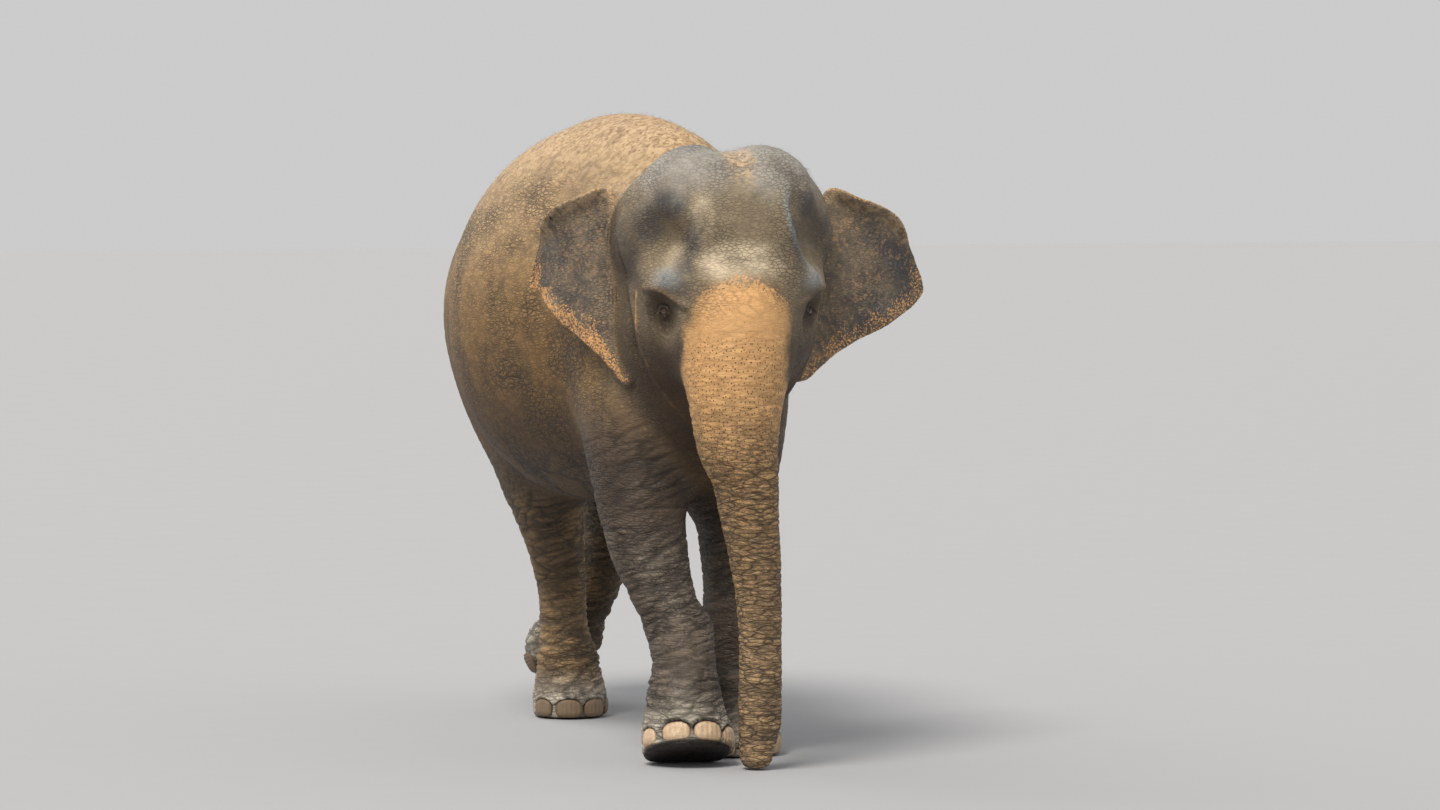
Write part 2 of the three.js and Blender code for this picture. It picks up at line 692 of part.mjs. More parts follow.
function neckSolid() {
  const { box, cell } = GRIDS.neck;
  return part(untailed, box, cell, [beyond(neckBack), before(headBack), beyond(neckUnder)]);
}

function headSolid() {
  const { box, cell } = GRIDS.head;
  const whole = part(untailed, box, cell, [beyond(headBack), before(trunkTop), beyond(neckUnder)]);
  const holes = Object.values(eyeCentres).map((centre) => ball(centre, EYE_RADIUS + GAP));
  return holes.reduce((made, hole) => made.subtract(hole), whole);
}

/** The trunk in lengths, from the face down to the tip. */
function trunkParts() {
  const box = [[-360, -1800, -100], [160, -1250, 1800]];
  const [upper, middle, lower] = TRUNK_CUTS.map(level);
  return {
    trunk_upper: part(faceField, box, 76, [beyond(trunkTop), beyond(upper)]),
    trunk_middle: part(trunk, box, 68, [before(upper), beyond(middle)]),
    trunk_lower: part(trunk, box, 64, [before(middle), beyond(lower)]),
    trunk_tip: part(trunk, box, 52, [before(lower), beyond(level(0), 0)]),
  };
}

/** Both ears, cut where they meet the head and the body behind it. */
function earParts() {
  const clearance = 3;
  const grown = (x, y, z) => untailed(x, y, z) - clearance;
  const fits = Object.values(GRIDS).map(({ box, cell }) => surface(grown, ...box, cell));
  const cut = (side) => fits.reduce((made, fit) => made.subtract(fit), earSolid(side));
  return { ear_left: cut('left'), ear_right: cut('right') };
}

/** One leg, its foot, and the nails let into the foot. */
function legParts(name, leg) {
  const made = {};
  const ankle = leg.footFrame.clone().multiply(level(ANKLE));
  const middle = new THREE.Vector3().setFromMatrixPosition(leg.footFrame);
  const low = [middle.x - 320, middle.y - (leg.front ? 320 : 720), -60];
  const high = [middle.x + 320, middle.y + (leg.front ? 560 : 420), 1010];
  const hung = (x, y, z) => join(bodyField(x, y, z), leg.field(x, y, z), 130);
  made[name] = part(hung, [low, high], 88, [before(level(LEG_TOP)), beyond(ankle)]);

  const footName = name.replace('leg', 'foot');
  const footBox = [low, [high[0], high[1], 520]];
  let footSolid = part(leg.field, footBox, 80, [before(ankle), beyond(level(0), 0)]);
  for (let i = 0; i < leg.nails; i += 1) {
    const off = i - (leg.nails - 1) / 2;
    const size = 1 - 0.075 * off * off;
    footSolid = footSolid.subtract(nailSolid(leg, off * leg.step, size, GAP));
    const nail = nailSolid(leg, off * leg.step, size).intersect(beyond(level(0), 0));
    made[`nail_${footName}_${i + 1}`] = nail;
  }
  made[footName] = footSolid;
  return made;
}

// ---------------------------------------------------------------- the model
const FINISHES = {
  skin: { color: 0x8b7762, roughness: 0.85, metalness: 0 },
  head: { color: 0x7f776c, roughness: 0.82, metalness: 0 },
  trunk: { color: 0xb58a63, roughness: 0.82, metalness: 0 },
  ear: { color: 0x6d625a, roughness: 0.85, metalness: 0 },
  leg: { color: 0x6f635a, roughness: 0.85, metalness: 0 },
  eye: { color: 0x24160f, roughness: 0.12, metalness: 0 },
  nail: { color: 0xc3ad93, roughness: 0.5, metalness: 0 },
  hair: { color: 0x2a231f, roughness: 0.7, metalness: 0 },
};
const finishOf = {
  head: 'head',
  trunk: 'trunk',
  ear: 'ear',
  eye: 'eye',
  nail: 'nail',
  foreleg: 'leg',
  forefoot: 'leg',
  hindleg: 'leg',
  hindfoot: 'leg',
};

const model = new THREE.Group();
const standing = new THREE.Group();
standing.position.set(-CENTRE_X, -CENTRE_Y, 0);
model.add(standing);

function add(name, made) {
  const finish = name === 'tail_tuft' ? 'hair' : finishOf[name.split('_')[0]] ?? 'skin';
  const node = new THREE.Mesh(geometryOf(made), new THREE.MeshStandardMaterial(FINISHES[finish]));
  node.name = name;
  standing.add(node);
}

const { stump, ...tailSolids } = tailParts();
add('torso', torsoSolid(stump));
add('neck', neckSolid());
add('head', headSolid());
for (const [name, made] of Object.entries(trunkParts())) add(name, made);
for (const [name, made] of Object.entries(earParts())) add(name, made);
for (const [side, centre] of Object.entries(eyeCentres)) add(`eye_${side}`, ball(centre, EYE_RADIUS));
for (const [leg, shape] of Object.entries(LEGS))
  for (const [name, made] of Object.entries(legParts(leg, shape))) add(name, made);
for (const [name, made] of Object.entries(tailSolids)) add(name, made);

export default model;
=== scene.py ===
# %% [markdown]
# # An Asian elephant cow, walking
#
# This lesson finishes a life-size museum model of an elephant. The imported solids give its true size
# and stance. One fine skin is grown over them, with folds, wrinkles and markings, and the eyes,
# nails and hairs are made as pieces of their own. The first cell loads the solids, which stay fixed.

# %% Load the frame
import itertools
import math
import time

import bpy
import numpy as np
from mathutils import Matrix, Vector


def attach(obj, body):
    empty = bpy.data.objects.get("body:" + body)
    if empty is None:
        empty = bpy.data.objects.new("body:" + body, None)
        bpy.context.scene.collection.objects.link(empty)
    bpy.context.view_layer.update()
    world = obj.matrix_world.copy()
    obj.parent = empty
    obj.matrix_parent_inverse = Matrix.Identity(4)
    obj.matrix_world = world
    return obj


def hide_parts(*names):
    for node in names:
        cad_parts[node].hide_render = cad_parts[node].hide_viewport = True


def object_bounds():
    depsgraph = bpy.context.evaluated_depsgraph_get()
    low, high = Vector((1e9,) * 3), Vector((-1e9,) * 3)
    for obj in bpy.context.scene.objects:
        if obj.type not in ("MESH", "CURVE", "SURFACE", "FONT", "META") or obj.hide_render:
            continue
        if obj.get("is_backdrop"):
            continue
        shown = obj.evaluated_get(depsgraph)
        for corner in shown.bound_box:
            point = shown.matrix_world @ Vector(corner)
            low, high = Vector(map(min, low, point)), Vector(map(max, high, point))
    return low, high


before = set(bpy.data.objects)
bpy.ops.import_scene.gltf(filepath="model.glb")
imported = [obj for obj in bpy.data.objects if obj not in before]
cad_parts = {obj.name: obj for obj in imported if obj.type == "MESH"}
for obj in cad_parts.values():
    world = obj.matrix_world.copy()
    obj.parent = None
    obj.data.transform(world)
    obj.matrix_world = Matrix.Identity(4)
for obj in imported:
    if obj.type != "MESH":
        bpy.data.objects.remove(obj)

started = time.time()
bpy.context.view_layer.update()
print("solids:", len(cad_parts), "nodes")

# %% [markdown]
# ## Shapes as fields
#
# A body of flesh has no seams, so pushing separate meshes together would show lines where they
# cross. Here the animal is one field instead: a function that is below zero inside the body and
# near the distance to the skin elsewhere. Fields of simple shapes can be joined with a soft
# rounding, as clay is smoothed over a joint. Everything is in millimetres until the end.

# %% Soft joins, places and simple shapes
MM = 0.001
SHIFT = np.array([-90.9, 167.0, 0.0])  # from the frame that the shapes are written in to the model's
NEAR = 330.0  # no soft join reaches further than this


def smoothstep(low, high, v):
    t = np.clip((v - low) / (high - low), 0, 1)
    return t * t * (3 - 2 * t)


def join(a, b, k):
    """Union of two fields, rounded over a reach of k."""
    h = np.maximum(k - np.abs(a - b), 0)
    return np.minimum(a, b) - h * h / (4 * k)


def keep(a, b, k):
    """Intersection of two fields, rounded over a reach of k."""
    return -join(-a, -b, k)


def turned(yaw=0.0, tilt=0.0, roll=0.0):
    """A turn by roll about Y, then tilt about X, then yaw about Z."""
    angles = [math.radians(a) for a in (yaw, tilt, roll)]
    (cz, sz), (cx, sx), (cy, sy) = [(math.cos(a), math.sin(a)) for a in angles]
    about_z = np.array([[cz, -sz, 0], [sz, cz, 0], [0, 0, 1]])
    about_x = np.array([[1, 0, 0], [0, cx, -sx], [0, sx, cx]])
    about_y = np.array([[cy, 0, sy], [0, 1, 0], [-sy, 0, cy]])
    return about_z @ about_x @ about_y


class Place:
    """A frame of its own: a point and a turn."""

    def __init__(self, at, turn=None, **turns):
        self.at = np.array(at, float)
        self.turn = turned(**turns) if turn is None else turn

    def into(self, p):
        return (p - self.at) @ self.turn

    def out(self, p):
        return np.asarray(p, float) @ self.turn.T + self.at

    def inner(self, at, **turns):
        return Place(self.out(at), self.turn @ turned(**turns))


def nearby(centre, reach, field):
    """A field worked out only near its shape, and about the distance to it elsewhere."""
    centre = np.asarray(centre, float)

    def quick(p):
        away = np.sqrt(((p - centre) ** 2).sum(1)) - reach
        close = away < NEAR
        if close.any():
            away[close] = field(p[close])
        return away

    return quick


def ellipsoid(centre, radii, **turns):
    place, radii = Place(centre, **turns), np.array(radii, float)

    def field(p):
        q = place.into(p) / radii
        k0 = np.sqrt((q * q).sum(1))
        k1 = np.sqrt(((q / radii) ** 2).sum(1))
        return k0 * (k0 - 1) / np.maximum(k1, 1e-9)

    return nearby(centre, radii.max(), field)


def both(make):
    return [make(-1), make(1)]


# %% [markdown]
# Legs, trunk and tail are limbs: ovals stacked along a line that bends. A few stations give each
# oval's place and size, and a smooth curve runs between them. The value is evened out where a limb
# widens quickly, so that it stays close to a true distance.

# %% Limbs
def along(stations):
    """A smooth curve through stations [where, value, value, ...], as a function of where."""
    rows = np.array(stations, float)
    last = len(rows) - 1
    index = np.arange(last + 1)
    before, after = rows[np.maximum(index - 1, 0)], rows[np.minimum(index + 1, last)]
    slope = (after - before) / (after[:, :1] - before[:, :1])

    def at(where):
        i = np.clip(np.searchsorted(rows[:, 0], where) - 1, 0, last - 1)
        a, b, leave, arrive = rows[i], rows[i + 1], slope[i], slope[i + 1]
        step = b[:, :1] - a[:, :1]
        t = np.clip((where[:, None] - a[:, :1]) / step, 0, 1)
        s = 1 - t
        start = s * s * ((1 + 2 * t) * a + t * step * leave)
        end = t * t * ((3 - 2 * t) * b - s * step * arrive)
        return (start + end)[:, 1:].T

    return at


def in_ellipse(u, v, a, b):
    k = np.maximum(np.sqrt((u / a) ** 2 + (v / b) ** 2), 1e-6)
    return np.sqrt(u * u + v * v) * (1 - 1 / k)


def evened(section, step=12.0):
    def even(p, q, where):
        rise = (section(p, q, where + step) - section(p, q, where - step)) / (2 * step)
        return section(p, q, where) / np.sqrt(1 + rise * rise)

    return even


def limb(stations, low_end=40.0, high_end=60.0):
    """Upright limb of oval sections: stations [z, middle x, middle y, half width, half depth]."""
    at, rows = along(stations), np.array(stations, float)
    low, high = rows[0, 0], rows[-1, 0]

    def oval(x, y, z):
        mx, my, a, b = at(z)
        return in_ellipse(x - mx, y - my, a, b)

    side = evened(oval)

    def field(p):
        x, y, z = p.T
        return keep(keep(side(x, y, z), z - high, high_end), low - z, low_end)

    middle = (rows[:, [1, 2, 0]].min(0) + rows[:, [1, 2, 0]].max(0)) / 2
    reach = np.linalg.norm(rows[:, [1, 2, 0]] - middle, axis=1).max() + rows[:, 3:].max()
    return nearby(middle, reach, field)


# %% [markdown]
# ## The body
#
# The barrel of the body runs along Y: it is narrow at the chest, widest at the belly and falls away
# to the rump. Shoulders, chest, udder, nape and throat are ellipsoids melted into it. A cow's udder
# lies between the forelegs, with one teat on each side.

# %% Body
SWAY = -50.0  # the body leans over the right legs
SPINE_RADIUS = 110.0
SPINE_SUNK = 12.0
BARREL_MIDDLE, BARREL_HALF = 25.0, 1130.0  # its middle and half its length along Y

# Stations of the barrel: [y, top, bottom, half width, height of the widest line].
barrel_at = along([
    [-1010, 2080, 1250, 235, 1700],
    [-820, 2305, 1100, 350, 1700],
    [-500, 2395, 1010, 455, 1690],
    [-150, 2430, 945, 560, 1670],
    [200, 2412, 905, 602, 1665],
    [520, 2330, 945, 545, 1660],
    [820, 2175, 1060, 430, 1650],
    [1060, 1960, 1240, 300, 1660],
    [1230, 1790, 1400, 170, 1660],
])


def barrel_oval(x, z, y):
    top, bottom, half, widest = barrel_at(y)
    oval = in_ellipse(x, z - widest, half, np.where(z > widest, top - widest, widest - bottom))
    ridge = np.hypot(x, z - (top - SPINE_SUNK - SPINE_RADIUS)) - SPINE_RADIUS
    return join(oval, ridge, 100)


barrel_side = evened(barrel_oval)


def barrel(p):
    x, y, z = p.T
    return keep(barrel_side(x - SWAY, z, y), np.abs(y - BARREL_MIDDLE) - BARREL_HALF, 330)


rump = ellipsoid([SWAY, 830, 1630], [345, 360, 430], tilt=-14)
shoulders = both(lambda s: ellipsoid([SWAY + s * 178, -770, 1560], [200, 290, 540], tilt=8, roll=s * 5))
chest = ellipsoid([SWAY, -860, 1310], [250, 290, 270])
udder = both(lambda s: ellipsoid([SWAY + s * 85, -720, 1045], [80, 105, 100]))
teats = both(lambda s: ellipsoid([SWAY + s * 108, -780, 975], [24, 24, 62], tilt=-18, roll=s * 14))
nape = ellipsoid([SWAY - 5, -960, 1830], [250, 360, 320], tilt=-6)
throat = ellipsoid([SWAY - 10, -1010, 1560], [220, 330, 290], tilt=14)

body_pieces = [(rump, 300)] + [(piece, 160) for piece in shoulders] + [(chest, 180)]
body_pieces += [(piece, 70) for piece in udder] + [(nape, 240), (throat, 220)]


def body_field(p):
    d = barrel(p)
    for piece, reach in body_pieces:
        d = join(d, piece(p), reach)
    return d


print("body of", 1 + len(body_pieces), "joined shapes")

# %% [markdown]
# ## Legs and feet
#
# An elephant stands on round cushioned feet. The forefeet are larger and carry five nails, the hind
# feet four. Each foot has a frame of its own, so that the right forefoot can come down heel first
# and the left hind foot can swing behind. Above each nail the toe shows as a low swelling.

# %% Legs and feet
FOREFOOT = {"radius": 170.0, "nails": 5, "step": 41.0, "nail_width": 114.0}
HINDFOOT = {"radius": 146.0, "nails": 4, "step": 45.0, "nail_width": 106.0}
NAIL_HEIGHT = 74.0
TOE_DEPTH = 34.0  # from the foot's outline in to the middle of a toe

LEGS = {
    "foreleg_right": {
        **FOREFOOT, "foot": Place([-206, -1066, -5], tilt=-21, yaw=10, roll=9), "foot_back": 125,
        "stations": [
            [120, -194, -1185, 128, 132], [216, -193, -1178, 132, 136], [385, -181, -1130, 122, 134],
            [539, -190, -1066, 134, 150], [618, -228, -1032, 127, 146], [772, -260, -966, 146, 170],
            [1058, -272, -860, 172, 215], [1330, -262, -800, 178, 245], [1620, -240, -770, 120, 190],
        ],
    },
    "foreleg_left": {
        **FOREFOOT, "foot": Place([118, -872, 0], yaw=4), "foot_back": 0,
        "stations": [
            [120, 118, -862, 124, 130], [216, 120, -852, 122, 130], [385, 128, -832, 118, 130],
            [539, 138, -822, 130, 144], [640, 144, -812, 124, 144], [800, 150, -795, 140, 170],
            [1058, 162, -765, 152, 215], [1330, 165, -760, 152, 240], [1620, 150, -760, 110, 190],
        ],
    },
    "hindleg_right": {
        **HINDFOOT, "foot": Place([-40, 660, 0], yaw=4), "foot_back": 0,
        "stations": [
            [90, -38, 664, 116, 124], [166, -27, 676, 108, 122], [374, -44, 712, 98, 126],
            [505, -56, 700, 97, 116], [713, -108, 640, 118, 156], [950, -165, 650, 158, 235],
            [1250, -222, 740, 165, 290], [1500, -215, 780, 150, 270], [1700, -190, 800, 110, 220],
        ],
    },
    "hindleg_left": {
        **HINDFOOT, "foot": Place([122, 1280, 92], tilt=70, yaw=4), "foot_back": -118,
        "stations": [
            [240, 124, 1110, 90, 104], [330, 138, 1056, 98, 122], [430, 166, 1010, 102, 138],
            [550, 188, 960, 108, 156], [700, 212, 885, 124, 190], [880, 218, 822, 148, 230],
            [1150, 200, 790, 170, 285], [1450, 180, 800, 150, 270], [1700, 150, 810, 110, 220],
        ],
    },
}

# %% Toes, feet and the fields of the legs
def toe_angles(leg):
    return [(i - (leg["nails"] - 1) / 2) * leg["step"] for i in range(leg["nails"])]


def foot_field(leg):
    """The foot in its own frame: sole at z = 0, toes towards -Y."""
    r = leg["radius"]
    side = limb([
        [-60, 0, 0, r * 0.98, r], [40, 0, 0, r, r * 1.02], [110, 0, 4, r * 0.955, r * 0.96],
        [190, 0, 14, r * 0.83, r * 0.83], [290, 0, 20, r * 0.76, r * 0.78],
    ], low_end=10)
    toes = []
    for angle in toe_angles(leg):
        a = math.radians(angle)
        middle = [(r - TOE_DEPTH) * math.sin(a), -(r - TOE_DEPTH) * math.cos(a), 62]
        toes.append(ellipsoid(middle, [r * 0.33, 40, 78], yaw=angle))

    def field(p):
        d = side(p)
        for toe in toes:
            d = join(d, toe(p), 16)
        return keep(d, -4 - p[:, 2], 30)

    return field


def leg_field(leg):
    shape, foot = limb(leg["stations"], high_end=200), foot_field(leg)
    place = leg["foot"].inner([0, -leg["foot_back"], 0])
    leg["sole"] = place
    reach = leg["radius"] * 2.2
    placed = nearby(place.out([0, 0, 120]), reach, lambda p: foot(place.into(p)))
    return lambda p: join(shape(p), placed(p), 70)


leg_fields = {name: leg_field(leg) for name, leg in LEGS.items()}
print("legs:", *leg_fields)

# %% [markdown]
# ## Head and trunk
#
# The head is built in its own frame, turned a little to the animal's right. An Asian elephant has
# two high domes with a cleft between them, hollow temples, a bony brow above each eye, and a jaw
# that hangs deep behind the root of the trunk. The hollows are cut softly out of the rest.

# %% Head
HEAD = Place([-62, -1280, 1718], yaw=-7.5, tilt=3)

skull = ellipsoid([0, 60, 260], [372, 315, 320])
domes = both(lambda s: ellipsoid([s * 128, 15, 420], [192, 245, 188], roll=s * 12))
forehead = ellipsoid([0, -115, 180], [268, 215, 330], tilt=4)
temples = both(lambda s: ellipsoid([s * 292, 110, 290], [112, 165, 170]))
brows = both(lambda s: ellipsoid([s * 220, -138, 100], [88, 116, 62], yaw=s * -28))
cheek_bones = both(lambda s: ellipsoid([s * 203, -30, -45], [98, 185, 170]))
jaw = ellipsoid([0, 130, -95], [328, 275, 340], tilt=10)
chin = ellipsoid([0, -130, -360], [98, 175, 82], tilt=28)
lip_base = ellipsoid([0, -200, -150], [196, 180, 220])
temple_hollows = both(lambda s: ellipsoid([s * 318, -185, 245], [70, 105, 105], yaw=s * -32))
cleft = ellipsoid([0, -20, 655], [60, 260, 62])
sockets = both(lambda s: ellipsoid([s * 319, -205, -34], [72, 80, 100], yaw=s * -30))

head_masses = [(piece, 70) for piece in domes] + [(forehead, 130)] + [(piece, 90) for piece in temples]
head_masses += [(jaw, 110)] + [(piece, 150) for piece in cheek_bones] + [(lip_base, 120), (chin, 90)]


def head_own(q):
    d = skull(q)
    for piece, reach in head_masses:
        d = join(d, piece(q), reach)
    for hollow in temple_hollows:
        d = keep(d, -hollow(q), 90)
    d = keep(d, -cleft(q), 60)
    for brow in brows:
        d = join(d, brow(q), 110)
    for socket in sockets:
        d = keep(d, -socket(q), 48)
    return d


head_field = nearby(HEAD.out([0, 0, 120]), 760, lambda p: head_own(HEAD.into(p)))
print("head of", 1 + len(head_masses) + len(brows), "joined shapes")

# %% Trunk and tail
TRUNK = [
    [-60, 10, -1398, 50, 54], [60, 10, -1400, 65, 66], [160, 16, -1416, 81, 80], [283, 8, -1444, 81, 88],
    [430, -3, -1478, 79, 90], [651, -24, -1514, 85, 98], [810, -47, -1532, 97, 110],
    [939, -70, -1544, 108, 122], [1072, -90, -1554, 122, 136], [1186, -121, -1560, 148, 148],
    [1389, -134, -1560, 170, 160], [1600, -127, -1545, 172, 168], [1758, -112, -1520, 172, 166],
    [1900, -98, -1470, 160, 130],
]
trunk = limb(TRUNK, high_end=120)
trunk_line = along(TRUNK)

TAIL = [
    [880, SWAY + 70, 1332, 16, 18], [1200, SWAY + 48, 1318, 24, 27], [1500, SWAY + 16, 1282, 36, 42],
    [1700, SWAY, 1228, 52, 62], [1850, SWAY, 1130, 60, 80],
]
tail = limb(TAIL, low_end=16)


def face_field(p):
    return join(head_field(p), keep(trunk(p), 4 - p[:, 2], 46), 110)


# %% [markdown]
# ## Eyes
#
# An elephant's eye is small and lies deep under a heavy lid. The eyeball is a separate piece. The
# lids are a little dome of skin over it, with an almond-shaped slit cut through.

# %% Lids
EYE_RADIUS = 20.0
EYE_AT = np.array([266.0, -158.0, 6.0])
EYE_OUT = 55.0  # degrees from straight ahead to where the eye looks
SLIT_HALF, SLIT_HIGH = 22.0, 11.5
LID_DOME = 27.0
LID_ZONE = 90.0  # the lids change nothing further from the eye than this

eye_places = {s: HEAD.inner(EYE_AT * [s, 1, 1], yaw=s * EYE_OUT, roll=s * 14) for s in (-1, 1)}
SLIT_RADIUS = (SLIT_HALF**2 + SLIT_HIGH**2) / (2 * SLIT_HIGH)
SLIT_RISE = SLIT_RADIUS - SLIT_HIGH
print("each slit lies between arcs of", round(SLIT_RADIUS, 1), "mm")


def lids(p, d):
    """Skin d with the lids of both eyes added and their slits cut."""
    for place in eye_places.values():
        close = ((p - place.at) ** 2).sum(1) < LID_ZONE**2
        if not close.any():
            continue
        x, y, z = place.into(p[close]).T
        dome = np.sqrt(x * x + y * y + z * z) - LID_DOME
        slit = np.maximum(np.hypot(x, z + SLIT_RISE), np.hypot(x, z - SLIT_RISE)) - SLIT_RADIUS
        opened = keep(slit, y + 2, 6)
        d[close] = keep(join(d[close], dome, 18), -opened, 4)
    return d


# %% [markdown]
# ## Ears
#
# An ear is a thin leaf of skin. Its outline is a closed curve of a few points, and its face is
# cupped, with the upper rim folded forward. The leaf's field is the distance to its middle sheet
# less half its thickness, kept inside the outline with a round edge.

# %% Ears
EAR_ROOT = np.array([366.0, 180.0, 90.0])
EAR_SWING = {-1: 57.0, 1: 20.0}  # degrees back from straight out: right ear, left ear
EAR_THICK, EAR_THIN = 22.0, 10.0
EAR_MIDDLE = np.array([170.0, 0.0])
NOTCH_DEPTH = 0.19  # share of the reach that the right ear's notch takes away
EAR_OUTLINE = np.array([
    [40, 346], [150, 320], [262, 286], [336, 248], [388, 196], [440, 128], [484, 70], [534, -28],
    [490, -86], [398, -128], [292, -184], [192, -226], [108, -274], [46, -334], [-5, -380],
    [-50, -360], [-62, -230], [-40, 0], [0, 200],
], float)


def closed_curve(points, pieces=12):
    """A smooth closed curve through points."""
    t = (np.arange(pieces) / pieces)[:, None, None]
    a, b, c, d = [np.roll(points, shift, 0) for shift in (1, 0, -1, -2)]
    curve = 2 * b + t * (c - a) + t * t * (2 * a - 5 * b + 4 * c - d) + t**3 * (3 * b - a - 3 * c + d)
    return (curve / 2).transpose(1, 0, 2).reshape(-1, 2)


ear_rim = closed_curve(EAR_OUTLINE) - EAR_MIDDLE
rim_angle = np.arctan2(ear_rim[:, 1], ear_rim[:, 0])
rim_order = np.argsort(rim_angle)
RIM_ANGLE = rim_angle[rim_order]
degrees = np.degrees(RIM_ANGLE)
notch = NOTCH_DEPTH * (1 - smoothstep(-10, -5, degrees)) * np.clip((degrees + 100) / 91, 0, 1)
RIM_REACH = {s: np.hypot(*ear_rim.T)[rim_order] * (1 - (s < 0) * notch) for s in (-1, 1)}
RIM_SLOPE = {s: np.gradient(reach, RIM_ANGLE) for s, reach in RIM_REACH.items()}
print("each ear's outline has", len(ear_rim), "points")

# %% The leaf of an ear
def ear_rim_at(out, up, sign):
    """How far a point lies along the way from the ear's middle to its rim, and past the rim in mm."""
    u, v = out - EAR_MIDDLE[0], up - EAR_MIDDLE[1]
    angle, away = np.arctan2(v, u), np.hypot(u, v)
    reach = np.interp(angle, RIM_ANGLE, RIM_REACH[sign], period=2 * math.pi)
    slope = np.interp(angle, RIM_ANGLE, RIM_SLOPE[sign], period=2 * math.pi)
    return away / reach, (away - reach) / np.sqrt(1 + (slope / reach) ** 2)


def ear_relief(out, up, sign):
    """How far the ear's middle sheet lies in front of its root plane."""
    rim, _ = ear_rim_at(out, up, sign)
    reach = out / 480
    cup = 46 * np.sin(np.pi * np.clip(reach, 0, 1)) - 18 * reach * reach
    top = 32 * smoothstep(0.84, 1.0, rim) * smoothstep(120, 240, up) * smoothstep(20, 90, out)
    waves = 9 * np.sin(up / 52 + out / 90) * smoothstep(0.5, 1, rim) * smoothstep(60, 200, out)
    return cup + top + waves


def ear_leaf(q, sign, extra):
    """Field of one ear in its frame, grown by extra."""
    out, front, up = sign * q[:, 0], -q[:, 1], q[:, 2]
    relief = ear_relief(out, up, sign)
    lean = np.hypot(ear_relief(out + 4, up, sign) - relief, ear_relief(out, up + 4, sign) - relief) / 4
    thick = EAR_THICK + (EAR_THIN - EAR_THICK) * np.clip(out / 300, 0, 1)
    edge = thick * 0.4 + extra
    face = np.abs(front - relief) / np.sqrt(1 + lean * lean) - thick / 2 - extra + edge
    rim = ear_rim_at(out, up, sign)[1] - extra + edge
    corner = np.hypot(np.maximum(face, 0), np.maximum(rim, 0))
    return np.minimum(np.maximum(face, rim), 0) + corner - edge


ear_places = {s: HEAD.inner(EAR_ROOT * [s, 1, 1], yaw=s * EAR_SWING[s], roll=s * 3) for s in (-1, 1)}


def ear_field(sign, extra=0.0):
    place = ear_places[sign]
    return nearby(place.out([sign * 200, 0, 0]), 430, lambda p: ear_leaf(place.into(p), sign, extra))


# %% The whole animal as one field
def animal(p, ear_extra=0.0):
    z = p[:, 2]
    legs = np.minimum.reduce([field(p) for field in leg_fields.values()])
    d = join(body_field(p), legs, 130)
    for teat in teats:
        d = join(d, teat(p), 26)
    d = join(d, face_field(p), 1 + 149 * smoothstep(500, 1000, z))
    d = join(d, tail(p), 70)
    for sign in (-1, 1):
        d = join(d, ear_field(sign, ear_extra)(p), 34)
    return keep(lids(p, d), -z, 14)


# %% [markdown]
# ## From field to mesh
#
# A grid of samples finds where the field changes sign, and each cell that the skin crosses gets one
# corner: this is the method called surface nets. The mesh starts coarse. Long edges are then cut in
# two, more often where the skin needs detail, and every corner slides onto the skin again.

# %% Surface nets
def in_parts(field, p, size=60000):
    return np.concatenate([field(p[i:i + size]) for i in range(0, len(p), size)])


def surface_nets(field, low, high, cell):
    low = np.array(low, float)
    count = np.ceil((np.array(high) - low) / cell).astype(int) + 1
    steps = np.stack(np.meshgrid(*[np.arange(n) for n in count], indexing="ij"), -1)
    value = in_parts(field, low + cell * steps.reshape(-1, 3)).reshape(count)
    offsets = list(itertools.product((0, 1), repeat=3))
    at = {o: value[tuple(slice(o[i], count[i] - 1 + o[i]) for i in range(3))] for o in offsets}
    total = np.zeros((*(count - 1), 3))
    crossings = np.zeros(count - 1)
    for a, b in itertools.combinations(offsets, 2):
        if sum(abs(i - j) for i, j in zip(a, b)) != 1:
            continue
        cross = (at[a] < 0) != (at[b] < 0)
        t = np.where(cross, at[a] / np.where(cross, at[a] - at[b], 1), 0)
        total += cross[..., None] * (np.array(a) + t[..., None] * (np.array(b) - np.array(a)))
        crossings += cross
    cells = np.argwhere(crossings > 0)
    number = np.full(count - 1, -1)
    number[tuple(cells.T)] = np.arange(len(cells))
    middle = total[tuple(cells.T)] / crossings[tuple(cells.T)][:, None]
    points = low + cell * (cells + middle)
    rings = []
    for axis in range(3):
        u, v = np.eye(3, dtype=int)[[(axis + 1) % 3, (axis + 2) % 3]]
        inside = value < 0
        here = np.argwhere(np.diff(inside, axis=axis))
        corners = [here - du * u - dv * v for du, dv in ((1, 1), (0, 1), (0, 0), (1, 0))]
        ring = np.stack([number[tuple(corner.T)] for corner in corners], 1)
        outward = inside[tuple(here.T)]
        ring[~outward] = ring[~outward][:, ::-1]
        rings.append(ring)
    a, b, c, d = np.vstack(rings).T
    return points, np.vstack([np.stack([a, b, c], 1), np.stack([a, c, d], 1)])


# %% Cutting long edges, sliding onto the skin, evening out
def columns(*items):
    return np.stack(items, 1)


